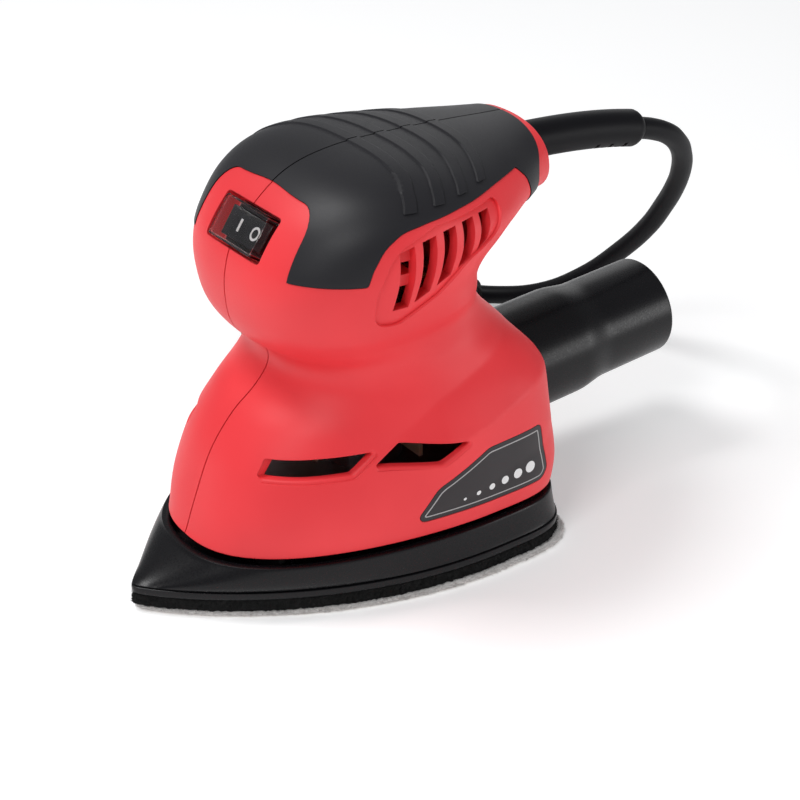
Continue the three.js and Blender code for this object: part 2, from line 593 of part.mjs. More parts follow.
function makeRocker() {
  const outline = [
    [-8.6, -3.1], [-8.6, -0.6], [0, -1.9], [8.6, -0.6], [8.6, -3.1], [4.5, -9.5], [-4.5, -9.5],
  ];
  const halfTall = SWITCH_CASE.tall / 2 - 1 - FIT_GAP;
  const shape = outlineShape(outline.map(([y, z]) => [y, z - ROCKER_PIVOT]));
  const geometry = new THREE.ExtrudeGeometry(shape, { depth: 2 * halfTall, bevelEnabled: false });
  geometry.rotateX(Math.PI / 2).rotateZ(Math.PI / 2).translate(-halfTall, 0, 0);
  geometry.rotateX(ROCKER_TILT).translate(0, 0, ROCKER_PIVOT);
  return toSolid(geometry.applyMatrix4(switchFrame.matrixWorld));
}

function makeSwitchCap() {
  const { wide, tall, base, high, wall } = SWITCH_CAP;
  const outside = switchBox(tall / 2, wide / 2, base, high);
  return cut(outside, switchBox(tall / 2 - wall, wide / 2 - wall, base - 2, high - wall));
}

// ---- dust adapter ----
function makeDustAdapter() {
  const length = (TUBE.end - TUBE.start) / Math.cos(THREE.MathUtils.degToRad(TUBE.slope));
  const { radius, root, wall, shoulder } = TUBE;
  return onPortAxis([
    [root - wall, 0], [root, 0], [root, shoulder], [root - 0.5, shoulder + 4], [radius + 0.4, shoulder + 8],
    [radius, shoulder + 12], [radius, length - 0.6], [radius - 0.6, length], [radius - wall, length],
    [radius - wall, shoulder + 10], [root - wall, shoulder + 2], [root - wall, 0],
  ]);
}

// ---- cord ----
function tubeAlong(points, radius, steps, sides) {
  const path = new THREE.CatmullRomCurve3(points.map((point) => new THREE.Vector3(...point)));
  const section = new THREE.Shape(Array.from({ length: sides }, (_, i) => {
    const angle = (2 * Math.PI * i) / sides;
    return new THREE.Vector2(radius * Math.cos(angle), radius * Math.sin(angle));
  }));
  return toSolid(new THREE.ExtrudeGeometry(section, { steps, extrudePath: path }));
}

const reliefRod = (radius) => tubeAlong(RELIEF_PATH, radius, 8, 14);

function alongX(outline, x, z, segments = 20) {
  const points = outline.map(([radius, distance]) => new THREE.Vector2(radius, distance));
  return toSolid(new THREE.LatheGeometry(points, segments).rotateZ(-Math.PI / 2).translate(x, 0, z));
}

function makeStrainRelief() {
  const disc = [[0, 0], [RELIEF.flange, 0], [RELIEF.flange, 3], [0, 3]];
  return join(reliefRod(RELIEF.radius), alongX(disc, RELIEF.start - 2.4, RELIEF.height));
}

// The cord inside the housing, from the clamp to the strain relief.
function makeInnerLead() {
  const length = 18.6;
  const core = [[0, 0], [3.6, 0], [3.6, length], [0, length]];
  return alongX(core, RELIEF.start - 2.4 - FIT_GAP - length, RELIEF.height, 12);
}

function makeClamp() {
  const [low, high] = CLAMP.screws;
  const bar = box(CLAMP.x - 3, CLAMP.x + 3, CLAMP.seat, CLAMP.seat + 2.4, low - 2.6, high + 2.6);
  return cut(bar, ...CLAMP.screws.map((z) => crossRod(1.7, 0, 12, [CLAMP.x, z], 12)));
}

const makeClampScrew = (z) => join(
  crossRod(1.2, -7, CLAMP.seat + 2.8, [CLAMP.x, z], 10),
  crossRod(2.4, CLAMP.seat + 2.45, CLAMP.seat + 4.2, [CLAMP.x, z], 14),
);

function makeCoil() {
  const { middle, half, bottom, top } = COIL;
  const [inner, outer] = [middle - half, middle + half];
  return turned([
    [inner, bottom + 2], [inner + 2, bottom], [outer - 2, bottom], [outer, bottom + 2],
    [outer, top - 2], [outer - 2, top], [inner + 2, top], [inner, top - 2], [inner, bottom + 2],
  ], COIL.centre, 32);
}

// Pieces on the coil are made round the coil's own middle and then turned to their place.
function onCoil(geometry, angle) {
  return toSolid(geometry.rotateZ(angle).translate(...COIL.centre, 0));
}

function makeCoilTie() {
  const { middle, half, bottom, top } = COIL;
  const block = (margin, wide) => onCoil(
    new THREE.BoxGeometry(2 * (half + margin), wide, top - bottom + 2 * margin)
      .translate(middle, 0, (top + bottom) / 2),
    TIE_ANGLE,
  );
  return cut(block(1.4, 8), block(0.4, 10));
}

function makePlugBody() {
  const outline = [
    [-17, -6.5], [-14, -8.5], [12, -6.8], [17, -6.8], [17, 6.8], [12, 6.8], [-14, 8.5], [-17, 6.5],
  ];
  const shape = outlineShape(outline.map(([along, across]) => [across + COIL.middle, along]));
  const geometry = new THREE.ExtrudeGeometry(shape, { depth: PLUG.high, bevelEnabled: false });
  return onCoil(geometry.translate(0, 0, PLUG.bottom), PLUG.angle);
}

function makePlugPin(side) {
  const geometry = new THREE.CylinderGeometry(2, 2, 19, 16);
  geometry.translate(COIL.middle + side * 4.6, 17 + 9.5 + FIT_GAP, PLUG.bottom + PLUG.high / 2);
  return onCoil(geometry, PLUG.angle);
}

// ---- assembly ----
const sander = new THREE.Group();

function place(name, solid, material) {
  const mesh = new THREE.Mesh(toGeometry(solid), material);
  mesh.name = name;
  sander.add(mesh);
}

const housing = makeHousing();
const grip = makeGrip();
const label = makeLabel();
const SIDES = [['left', 1], ['right', -1]];
SIDES.forEach(([name, side]) => {
  const half = housing.intersect(halfSpace(side));
  place(`housing_${name}`, side > 0 ? half : withClampPosts(half), MATERIAL.red);
  place(`grip_${name}`, grip.intersect(halfSpace(side)), MATERIAL.grip);
  place(`label_${name}`, label.intersect(halfSpace(side)), MATERIAL.label);
  place(`brush_holder_${name}`, makeBrushHolder(side), MATERIAL.brass);
  place(`brush_${name}`, makeBrush(side), MATERIAL.carbon);
  place(`brush_spring_${name}`, makeBrushSpring(side), MATERIAL.steel);
});
HOUSING_SCREWS.forEach((spot, i) => place(`housing_screw_${i + 1}`, makeHousingScrew(spot), MATERIAL.steel));

place('switch_body', makeSwitchBody(), MATERIAL.black);
place('switch_rocker', makeRocker(), MATERIAL.black);
place('switch_cap', makeSwitchCap(), MATERIAL.clear);

place('stator_core', makeStator(), MATERIAL.lamination);
place('field_coil_front', coilForm(-1, 0), MATERIAL.copper);
place('field_coil_rear', coilForm(1, 0), MATERIAL.copper);
place('motor_shaft', makeShaft(), MATERIAL.steel);
place('armature_core', makeArmature(), MATERIAL.lamination);
place('armature_winding_lower', makeWinding(52, STATOR.bottom - FIT_GAP), MATERIAL.copper);
place('armature_winding_upper', makeWinding(STATOR.top + FIT_GAP, 90.5), MATERIAL.copper);
place('commutator', makeCommutator(), MATERIAL.copper);
place('cooling_fan', makeFan(), MATERIAL.nylon);
place('eccentric_weight', makeEccentric(), MATERIAL.alloy);
place('bearing_upper', bearing(UPPER_BEARING, UPPER_BEARING_Z, [0, 0], 3), MATERIAL.steel);
place('bearing_bush', ring(9.55, 13, 104.1, 110.9, [0, 0], 28), MATERIAL.rubber);
place('bearing_lower', bearing(BEARING, LOWER_BEARING_Z, [0, 0], 4), MATERIAL.steel);
place('bearing_bracket', makeBracket(), MATERIAL.alloy);
place('bearing_eccentric', bearing(BEARING, SHOE_FLOOR + LAYER_GAP, [ORBIT, 0], 4), MATERIAL.steel);

place('orbiting_shoe', makeShoe(), MATERIAL.black);
place('hook_pad', makeHookPad(), MATERIAL.foam);
place('sanding_sheet', makeSheet(), MATERIAL.sheet);
LEG_PLACES.forEach((spot, i) => place(`flexible_leg_${i + 1}`, makeLeg(spot), MATERIAL.rubber));
LEG_PLACES.forEach((spot, i) => place(`leg_screw_${i + 1}`, makeLegScrew(spot), MATERIAL.steel));

place('dust_adapter', makeDustAdapter(), MATERIAL.black);
place('strain_relief', makeStrainRelief(), MATERIAL.rubber);
place('cord_lead_in', makeInnerLead(), MATERIAL.rubber);
place('cord_clamp', makeClamp(), MATERIAL.black);
CLAMP.screws.forEach((z, i) => place(`clamp_screw_${i + 1}`, makeClampScrew(z), MATERIAL.steel));
place('mains_cord', tubeAlong(CORD_ROUTE, CORD_RADIUS, 24, 8), MATERIAL.rubber);
place('cord_coil', makeCoil(), MATERIAL.rubber);
place('coil_tie', makeCoilTie(), MATERIAL.black);
place('plug_body', makePlugBody(), MATERIAL.rubber);
place('plug_pin_left', makePlugPin(-1), MATERIAL.steel);
place('plug_pin_right', makePlugPin(1), MATERIAL.steel);

export default sander;
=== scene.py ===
"""Looks of a detail mouse sander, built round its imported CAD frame.

The making functions work in millimetres in the CAD frame: the origin on the motor axis, on the underside
of the sanding sheet, +X towards the cord and +Z up. new_piece() turns millimetres into metres.
"""
import math
import random

import bmesh
import bpy
import numpy as np
from mathutils import Matrix, Vector, noise
from mathutils.bvhtree import BVHTree


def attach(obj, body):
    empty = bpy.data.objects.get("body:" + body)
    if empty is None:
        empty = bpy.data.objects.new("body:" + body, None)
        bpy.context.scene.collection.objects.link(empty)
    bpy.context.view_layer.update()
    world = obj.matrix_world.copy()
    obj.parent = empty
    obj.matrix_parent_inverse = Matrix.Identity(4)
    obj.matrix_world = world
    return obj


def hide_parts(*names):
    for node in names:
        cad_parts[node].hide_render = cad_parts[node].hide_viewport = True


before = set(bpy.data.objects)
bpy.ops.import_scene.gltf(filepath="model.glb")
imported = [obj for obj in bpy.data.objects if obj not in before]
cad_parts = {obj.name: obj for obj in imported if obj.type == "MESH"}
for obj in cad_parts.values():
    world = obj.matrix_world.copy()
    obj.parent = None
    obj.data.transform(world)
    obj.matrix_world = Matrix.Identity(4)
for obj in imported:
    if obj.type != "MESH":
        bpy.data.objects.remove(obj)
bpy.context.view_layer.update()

# ---- driving dimensions, in millimetres unless said otherwise ----
MM = 0.001
CAMERA = {  # azimuth and elevation in degrees
    "azimuth": -35.958, "elevation": 28.873, "distance": 575.8,
    "lens": 79.126, "target": (14.77, -1.5, 41.9),
}

SPLIT = 0.26  # half of the gap between the housing halves
FAR_SIDE = 70  # beyond the housing along Y
FIT_GAP = 0.25
WALL = 2.6
VENT_WALL = 4.6
GRIP_DEPTH = 1.6
GRIP_RISE = 0.25
GRIP_RIBS = {"count": 4, "start": -11.7, "step": 10, "wide": 3.7, "high": 0.45}
LABEL_DEPTH = 0.5
LABEL_LINE = {"in": 1.5, "wide": 0.4}
LABEL_DOTS = {"count": 6, "radius": 0.55, "growth": 0.28, "place": (6, 30.5), "step": (5.2, 0.5)}
PANEL_DEPTH = 0.95
LIP = {"panel": 0.85, "vent": 0.7, "slot": 1.1}
SLOT_REACH = 20  # how near the slots' cutters come to the centre plane
TAIL_WALL = 55.2  # x of the tail wall's inner face
SEAT_WALL = 2.8
SEAT_DEPTH = 9.4

SHOE = {"tip": -86.5, "heel": 54.0, "half": 50.0, "wide": 19.0}
SHEET_TOP = 1.8
PAD_TOP = 6.0
SHOE_LIP = 8.6
SHOE_FLOOR = 9.8
SHOE_TOP = 18.0
SHOE_WALL = 2.6
ORBIT = 0.8
CUP_TOP = 12
LEG_PLACES = [(-46, 17), (-46, -17), (34, 30), (34, -30)]

SWITCH_CENTRE = Vector((-40.5, 0, 116.8))
SWITCH_LEAN = math.radians(35.5)
SWITCH_RECESS = {"wide": 29.2, "tall": 15.0, "depth": 5.5}
SWITCH_CASE = {"wide": 21.2, "tall": 11.8, "back": -20.0, "well": -13.0}
SWITCH_CAP = {"wide": 22.6, "tall": 13.2, "base": -4.25, "high": 2.2, "wall": 0.7}
ROCKER_PIVOT = -8.0
ROCKER_TILT = math.radians(9)
MARK = {"out": 3.5, "height": -1.2}

TUBE = {  # slope in degrees
    "radius": 17.4, "root": 19.0, "wall": 2.0, "start": 42.0, "end": 122.0,
    "end_height": 45.7, "slope": 4.2, "shoulder": 40.0,
}
RELIEF = {"radius": 6.3, "start": 54.0, "height": 120.5, "flange": 8.3, "taper": 3.2, "taper_in": 1.9}
RELIEF_SLOTS = {"count": 5, "start": 92.5, "step": 3.1, "wide": 1.35, "height": 117.4, "fall": 0.16}
RELIEF_PATH = [
    (RELIEF["start"], 0, RELIEF["height"]),
    (72, 0, 119.8), (88, 0, 118.4), (102, 0, 116.4), (114.5, 0, 113.9),
]
CORD_RADIUS = 3.75
COIL = {"centre": (76, 111), "middle": 39.5, "aside": 3.8, "half": 8.0, "bottom": 1.5, "top": 23.5}
COIL_TURNS = {"first": 30, "last": 1905, "step": 15, "jog": 80, "jog_from": 310}  # degrees
PLUG = {"bottom": 23.8, "high": 14.0, "angle": 2.6, "pins_out": 4.6}
TIE = {"angle": -0.6, "half": 4.0, "thick": 0.95, "corner": 3.4}

AROUND = 320  # points round a level of the housing
STEPS = 9  # steps between two levels of the housing

# Levels of the housing, from the bottom rim up and round into the tail. Each level is a plane through
# its front and its rear point. A row holds front x, z, rear x, z, half width, the widest place's share
# of the length, and the corner exponents of the nose and of the tail.
BODY_LEVELS = np.array([
    (-66.6, 20.0, 54.0, 20.0, 47.0, 0.69, 1.7, 2.5, 4.4, 3.7),
    (-62.2, 32.0, 54.6, 30.0, 48.3, 0.68, 1.82, 2.75, 4.2, 3.6),
    (-55.9, 46.5, 53.4, 42.0, 47.4, 0.67, 1.8, 2.7, 4.0, 3.4),
    (-47.8, 57.0, 52.0, 52.0, 45.2, 0.64, 1.87, 2.5, 3.7, 3.2),
    (-39.2, 64.0, 49.5, 62.0, 42.8, 0.6, 2.05, 2.4, 3.4, 3.0),
    (-34.2, 70.5, 44.8, 71.0, 39.5, 0.56, 2.2, 2.4, 3.0, 2.8),
    (-35.2, 76.5, 37.5, 79.0, 37.0, 0.53, 2.3, 2.4, 2.6, 2.6),
    (-42.2, 82.2, 33.0, 86.0, 37.6, 0.52, 2.4, 2.4, 2.4, 2.5),
    (-46.5, 88.7, 32.0, 92.0, 40.3, 0.52, 2.5, 2.5, 2.4, 2.5),
    (-47.9, 97.0, 31.0, 97.0, 42.6, 0.52, 2.5, 2.6, 2.3, 2.5),
    (-47.4, 105.0, 31.1, 101.0, 44.3, 0.53, 2.45, 2.7, 2.3, 2.5),
    (-44.3, 113.5, 32.6, 104.5, 45.6, 0.54, 2.45, 2.7, 2.3, 2.5),
    (-35.4, 124.3, 35.6, 107.0, 46.0, 0.54, 2.6, 2.8, 2.3, 2.5),
    (-23.8, 131.6, 39.2, 109.0, 44.6, 0.53, 2.55, 2.8, 2.3, 2.5),
    (-8.0, 134.7, 43.6, 109.6, 41.2, 0.52, 2.5, 2.7, 2.2, 2.4),
    (12.0, 134.8, 48.0, 109.4, 35.6, 0.5, 2.5, 2.5, 2.2, 2.3),
    (32.0, 134.0, 52.0, 109.0, 29.6, 0.5, 2.3, 2.4, 2.2, 2.2),
    (47.0, 133.0, 56.0, 108.4, 24.0, 0.5, 2.3, 2.4, 2.2, 2.2),
    (57.5, 132.4, 60.0, 107.6, 20.5, 0.5, 2.3, 2.3, 2.2, 2.2),
])

# Side outlines, as x, z and, where a corner is round, its radius.
GRIP_OUTLINE = [
    (-60, 109), (-25.6, 109, 1), (-23.8, 113.4, 9), (-20.2, 119, 12), (-14.2, 122.9, 14), (-5.5, 124.3, 30),
    (6.3, 125.3, 40), (25, 126.1, 30), (38, 126.4, 1.2), (42, 122.6, 6), (43.6, 117.5, 8), (45, 105),
    (49.4, 105), (50.6, 121, 20), (53.8, 127.5, 20), (55.4, 134), (55.4, 142), (-60, 142),
]
# The red front panel seen from the front, as y, z and radius; the grip stops round it.
FACE_OUTLINE = [
    (-26.2, 100), (26.2, 100), (25.6, 112, 30), (24.5, 127, 14), (0, 128.9, 80), (-24.5, 127, 14),
    (-25.6, 112, 30),
]
LABEL_OUTLINE = [
    (-11.3, 26.1, 2.2), (38, 26.1, 3.4), (40.2, 29.3, 3), (36, 46.9, 2.2), (13.8, 46.9, 6), (-3.9, 37.6, 8),
]
VENT_PANEL = [
    (-22.8, 105, 14), (-22.4, 94.9, 4.5), (-14.5, 94.3, 6), (-1.3, 101.5, 14), (8, 110, 12), (21, 115.5, 8),
    (23.5, 124, 2.4), (-4, 122.6, 16), (-17, 117.6, 12),
]
FRONT_SLOT = [
    (-52.2, 45.2, 0.8), (-48.6, 50.5, 0.9), (-36.8, 51.4, 25), (-21.1, 52.3, 0.5), (-28.7, 46.4, 2),
    (-40.7, 45.6, 20),
]
REAR_SLOT = [(-22.4, 47.8, 0.5), (-14.1, 53.9, 1.5), (7.3, 51.2, 0.5), (-2.5, 46, 3)]
# Vent slots: the first x and the step of each slot's two edges at the bottom and at the top, the lowest
# bottom, the sill's height and slope, and the arch of the tops as its middle, height and curvature.
VENTS = {
    "count": 5, "bottom": [(-17, 7.15), (-11.8, 6.9)], "top": [(-15.5, 7.3), (-10.8, 7.25)],
    "lowest": 99.2, "sill": (105.5, 0.53), "arch": (16, 121.9, 0.0048), "bow": 0.5,
}
INNER_RIBS = {"heights": [(105.5, 109.3), (113.2, 117)], "front": -19, "rear": -9, "proud": 0.6, "reach": 33}
# The side's flat lower panel ends at the crease, and a sloping facet runs from there up to the ridge.
CREASE = [(-24, 49), (-4, 50), (6, 51.1), (14.4, 53.2), (23.7, 56.4), (34.6, 59.5), (60, 66)]
RIDGE = [(-24, 50.5), (-11.8, 56.7), (0.7, 64.2), (20.4, 70.9), (40, 76), (60, 80)]
CREASE_RISE = 4.0
CREASE_FADE = 22  # how far below the crease the rise ends

HOUSING_SCREWS = [(-50, 36), (36.5, 36), (-37, 95), (23, 97), (27, 124.5), (-4, 126.5)]
SCREW = {"boss": 5, "bore": 3.7, "shank": 1.7, "cover": 3, "seat": 14}

CORD_ROUTE = [
    (115.1, 0, 113.8), (122, 0.2, 111.8), (130, 1, 108.3), (137, 3, 103.3), (143.5, 6.5, 96.5),
    (149, 11.5, 87.5), (153, 18, 77.5), (155.5, 25.5, 67), (156.5, 33.5, 56), (155.5, 48, 40),
    (152, 65, 24), (146.5, 83, 12), (139, 100.5, 6), (129.5, 116, 4.2), (121.4, 125, 4.3),
]


# ---- meshes ----
def in_scene(name, data):
    """A new object in the scene."""
    made = bpy.data.objects.new(name, data)
    bpy.context.scene.collection.objects.link(made)
    return made


def new_piece(name, points, faces, smooth=35):
    """An object from points in millimetres, with its faces pointing out and its edges over smooth sharp."""
    mesh = bpy.data.meshes.new(name)
    mesh.from_pydata((np.asarray(points, float) * MM).tolist(), [], faces)
    piece = in_scene(name, mesh)
    face_out(piece)
    soften(piece, smooth)
    return piece


def face_out(piece):
    work = bmesh.new()
    work.from_mesh(piece.data)
    if work.calc_volume(signed=True) < 0:
        bmesh.ops.reverse_faces(work, faces=work.faces)
    work.to_mesh(piece.data)
    work.free()


def soften(piece, angle=35):
    piece.data.shade_smooth()
    piece.data.set_sharp_from_angle(angle=math.radians(angle))


def settle(piece):
    """Applies the modifiers of a piece."""
    graph = bpy.context.evaluated_depsgraph_get()
    graph.update()
    made = bpy.data.meshes.new_from_object(piece.evaluated_get(graph), depsgraph=graph)
    old = piece.data
    piece.modifiers.clear()
    piece.data = made
    bpy.data.meshes.remove(old)


def solve(operation, base, *tools):
    """Cuts, joins or intersects base with each tool in turn. The tools are used up."""
    for tool in tools:
        step = base.modifiers.new("step", "BOOLEAN")
        step.operation = operation
        step.solver = "MANIFOLD"
        step.object = tool
    settle(base)
    for tool in tools:
        bpy.data.objects.remove(tool)
    return base


def cut(base, *tools):
    return solve("DIFFERENCE", base, *tools)


def join(base, *tools):
    return solve("UNION", base, *tools)


def common(base, *tools):
    return solve("INTERSECT", base, *tools)


def twin(piece, name):
    return in_scene(name, piece.data.copy())


def round_edges(piece, width, segments):
    """Rounds the sharp edges of a plainly built piece; width is in millimetres."""
    bevel = piece.modifiers.new("round", "BEVEL")
    bevel.width = width * MM
    bevel.segments = segments
    bevel.limit_method = "ANGLE"
    bevel.angle_limit = math.radians(40)
    bevel.miter_outer = "MITER_ARC"
    bevel.harden_normals = False
    settle(piece)
    soften(piece, 50)


def loft(name, rings, closed=False, smooth=35):
    """A closed skin through rings of points; closed joins the last ring to the first one."""
    rings = [np.asarray(ring, float) for ring in rings]
    count = len(rings[0])
    faces = []
    spans = len(rings) if closed else len(rings) - 1
    for r in range(spans):
        a, b = r * count, ((r + 1) % len(rings)) * count
        for i in range(count):
            j = (i + 1) % count
            faces.append((a + i, a + j, b + j, b + i))
    if not closed:
        faces.append(tuple(reversed(range(count))))
        faces.append(tuple((len(rings) - 1) * count + i for i in range(count)))
    return new_piece(name, np.concatenate(rings), faces, smooth)


def turns(count):
    """Even angles round a full turn."""
    return np.linspace(0, 2 * math.pi, count, endpoint=False)


def turned(name, outline, segments):
    """A shape turned about the Z axis; its closed outline is radius, z pairs."""
    rings = [[(r * math.cos(a), r * math.sin(a), z) for r, z in outline] for a in turns(segments)]
    return loft(name, rings, closed=True)


def circle(radius, z=0, place=(0, 0), segments=48):
    angles = turns(segments)
    x, y = place[0] + radius * np.cos(angles), place[1] + radius * np.sin(angles)
    return np.stack([x, y, np.full(segments, z)], 1)


def rod(name, radius, z0, z1, place):
    return loft(name, [circle(radius, z, place) for z in (z0, z1)])


def rounded(outline, segments=7):
    """Replaces each corner that has a radius by an arc. Returns the outline as 2-D points."""
    result = []
    count = len(outline)
    for i, corner in enumerate(outline):
        here = np.array(corner[:2], float)
        if len(corner) == 2:
            result.append(here)
            continue
        before = np.array(outline[i - 1][:2], float) - here
        after = np.array(outline[(i + 1) % count][:2], float) - here
        length_before, length_after = np.linalg.norm(before), np.linalg.norm(after)
        before /= length_before
        after /= length_after
        half = math.acos(np.clip(before @ after, -1, 1)) / 2
        reach = min(corner[2] / math.tan(half), 0.48 * length_before, 0.48 * length_after)
        radius = reach * math.tan(half)
        middle = here + (before + after) / np.linalg.norm(before + after) * (radius / math.sin(half))
        start, end = here + before * reach - middle, here + after * reach - middle
        sweep = math.atan2(start[0] * end[1] - start[1] * end[0], start @ end)
        for k in range(segments + 1):
            angle = sweep * k / segments
            turn = np.array([[math.cos(angle), -math.sin(angle)], [math.sin(angle), math.cos(angle)]])
            result.append(middle + turn @ start)
    return np.array(result)


def divided(outline, longest=2.0):
    """Splits the long edges of an outline."""
    result = []
    for a, b in zip(outline, np.roll(outline, -1, axis=0)):
        pieces = max(1, math.ceil(np.linalg.norm(b - a) / longest))
        result += [a + (b - a) * k / pieces for k in range(pieces)]
    return np.array(result)


def grown(outline, distance):
    """Moves every edge of an outline outwards."""
    ahead = np.roll(outline, -1, axis=0)
    behind = np.roll(outline, 1, axis=0)
    area = np.sum(outline[:, 0] * ahead[:, 1] - ahead[:, 0] * outline[:, 1])
    into = outline - behind
    out = ahead - outline
    into /= np.linalg.norm(into, axis=1)[:, None]
    out /= np.linalg.norm(out, axis=1)[:, None]
    normal = np.stack([into[:, 1] + out[:, 1], -into[:, 0] - out[:, 0]], 1)
    normal /= np.linalg.norm(normal, axis=1)[:, None]
    lean = np.clip(normal[:, 0] * into[:, 1] - normal[:, 1] * into[:, 0], 0.5, 1)
    return outline + normal * (math.copysign(distance, area * distance) / lean)[:, None]


def side_prism(name, outline, y0=-60, y1=60):
    """An x, z outline run along Y."""
    return loft(name, [[(x, y, z) for x, z in outline] for y in (y0, y1)])


def front_prism(name, outline, x0, x1):
    """A y, z outline run along X."""
    return loft(name, [[(x, y, z) for y, z in outline] for x in (x0, x1)])


def level_prism(name, outline, z0, z1):
    """An x, y outline run along Z."""
    return loft(name, [[(x, y, z) for x, y in outline] for z in (z0, z1)])


def box(name, low, high):
    (x0, y0, z0), (x1, y1, z1) = low, high
    return level_prism(name, [(x0, y0), (x1, y0), (x1, y1), (x0, y1)], z0, z1)


def cross_rod(name, radius, y0, y1, place, segments=40):
    return side_prism(name, circle(radius, 0, place, segments)[:, :2], y0, y1)


# ---- the housing's form ----
def spline(values, t):
    """Catmull-Rom through the rows of values; t runs from 0 to 1."""
    last = len(values) - 1
    start = min(int(t * last), last - 1)
    u = t * last - start
    a, b, c, d = (values[min(max(start + k, 0), last)] for k in (-1, 0, 1, 2))
    return 0.5 * (2 * b + (c - a) * u + (2 * a - 5 * b + 4 * c - d) * u**2 + (3 * b - a - 3 * c + d) * u**3)


def quarter(length_power, width_power, samples=240):
    """A quarter of a superellipse of unit size, from its length axis to its width axis."""
    share = np.linspace(0, 1, samples)
    angles = np.concatenate([np.arccos(share ** (length_power / 2)), np.arcsin(share ** (width_power / 2))])
    angles = np.unique(angles)
    reach = np.cos(angles).clip(0) ** (2 / length_power)
    spread = np.sin(angles).clip(0) ** (2 / width_power)
    return reach, spread


def level_ring(level, count, inset=0.0):
    """A level's outline in even steps, from the rear round by +Y to the front and back by -Y."""
    front = Vector((level[0], 0, level[1]))
    rear = Vector((level[2], 0, level[3]))
    along = (rear - front).normalized()
    front, rear = front + along * inset, rear - along * inset
    middle = np.array(front.lerp(rear, level[5]))
    half = level[4] - inset
    rear_reach, rear_spread = quarter(level[8], level[9])
    front_reach, front_spread = quarter(level[6], level[7])
    towards_rear = middle + rear_reach[:, None] * (np.array(rear) - middle)
    towards_front = middle + front_reach[:, None] * (np.array(front) - middle)
    towards_rear[:, 1] = half * rear_spread
    towards_front[:, 1] = half * front_spread
    side = np.concatenate([towards_rear, towards_front[::-1][1:]])
    travel = np.concatenate([[0], np.cumsum(np.linalg.norm(np.diff(side, axis=0), axis=1))])
    even = np.linspace(0, travel[-1], count // 2 + 1)
    side = np.stack([np.interp(even, travel, side[:, axis]) for axis in range(3)], 1)
    other = side[1:-1][::-1] * (1, -1, 1)
    return np.concatenate([side, other])


def smooth_step(low, high, value):
    share = np.clip((value - low) / (high - low), 0, 1)
    return share * share * (3 - 2 * share)


def crease_rise(points):
    """How far the side's facets stand out: most at the crease, falling off below it and to the ridge."""
    x, y, z = points[..., 0], np.abs(points[..., 1]), points[..., 2]
    crease = np.interp(x, *zip(*CREASE))
    ridge = np.interp(x, *zip(*RIDGE))
    below = np.clip(1 - (crease - z) / CREASE_FADE, 0, 1)
    above = np.clip((ridge - z) / (ridge - crease), 0, 1)
    tent = np.where(z < crease, below, above)
    ends = smooth_step(-20, 2, x) * (1 - smooth_step(40, 52, x)) * smooth_step(20, 32, y)
    return CREASE_RISE * tent * ends


def normals(grid):
    across = np.roll(grid, -1, axis=1) - np.roll(grid, 1, axis=1)
    up = np.gradient(grid, axis=0)
    normal = np.cross(across, up)
    return normal / np.linalg.norm(normal, axis=2)[..., None]


def body_grid(around, steps):
    total = (len(BODY_LEVELS) - 1) * steps
    grid = np.array([level_ring(spline(BODY_LEVELS, k / total), around) for k in range(total + 1)])
    facing = normals(grid)
    return grid + facing * crease_rise(grid)[..., None], facing


BODY_GRID, BODY_FACING = body_grid(AROUND, STEPS)


def body(name, offset=0.0, rim=0.0, every=1):
    """The housing's outer form moved out by offset. rim rounds the edges at its two open ends."""
    grid = (BODY_GRID + BODY_FACING * offset)[::every, ::every]
    rings = list(grid)
    if rim:
        rings = rolled_end(rings[::-1], rim)[::-1]
        rings = rolled_end(rings, rim)
    return loft(name, rings)


def rolled_end(rings, radius, steps=4):
    """Rounds the last ring of a loft over, towards the middle of its end face."""
    end = rings[-1]
    middle = end.mean(axis=0)
    plane = np.linalg.svd(end - middle)[2][2]
    plane *= np.sign(plane @ (end - rings[-4]).mean(axis=0))
    inward = middle - end
    inward -= np.outer(inward @ plane, plane)
    inward /= np.linalg.norm(inward, axis=1)[:, None]
    start = end - plane * radius
    kept = [ring for ring in rings[:-1] if ((ring - start) @ plane).max() < -0.2]
    for angle in np.linspace(0, math.pi / 2, steps + 1):
        kept.append(start + plane * radius * math.sin(angle) + inward * radius * (1 - math.cos(angle)))
    return kept


def surface_tree(piece):
    work = bmesh.new()
    work.from_mesh(piece.data)
    tree = BVHTree.FromBMesh(work)
    work.free()
    return tree


OUTER = body("outer", rim=0.7)
OUTER_TREE = surface_tree(OUTER)


def side_surface(x, z):
    """The housing's half width at x, z."""
    hit = OUTER_TREE.ray_cast(Vector((x, 80, z)) * MM, Vector((0, -1, 0)))[0]
    return hit.y / MM if hit else 0.0


def upright(outline, y):
    """An x, z outline as a ring of points; y is one number or one for each point."""
    return np.stack([outline[:, 0], np.broadcast_to(y, len(outline)), outline[:, 1]], 1)


def lipped_prism(name, outline, lip, side, inner, steps=5):
    """A cutter through the side wall with a rounded lip of radius lip. side is 1 or -1 along Y."""
    outline = divided(outline)
    width = np.array([side_surface(x, z) for x, z in outline])
    rings = [upright(grown(outline, 1.4 * lip), side * (width.max() + 4))]
    for angle in np.linspace(0, math.pi / 2, steps + 1):
        depth = width - lip * (1 - math.cos(angle))
        rings.append(upright(grown(outline, lip * (1 - math.sin(angle))), side * depth))
    rings.append(upright(outline, side * inner))
    return loft(name, rings)


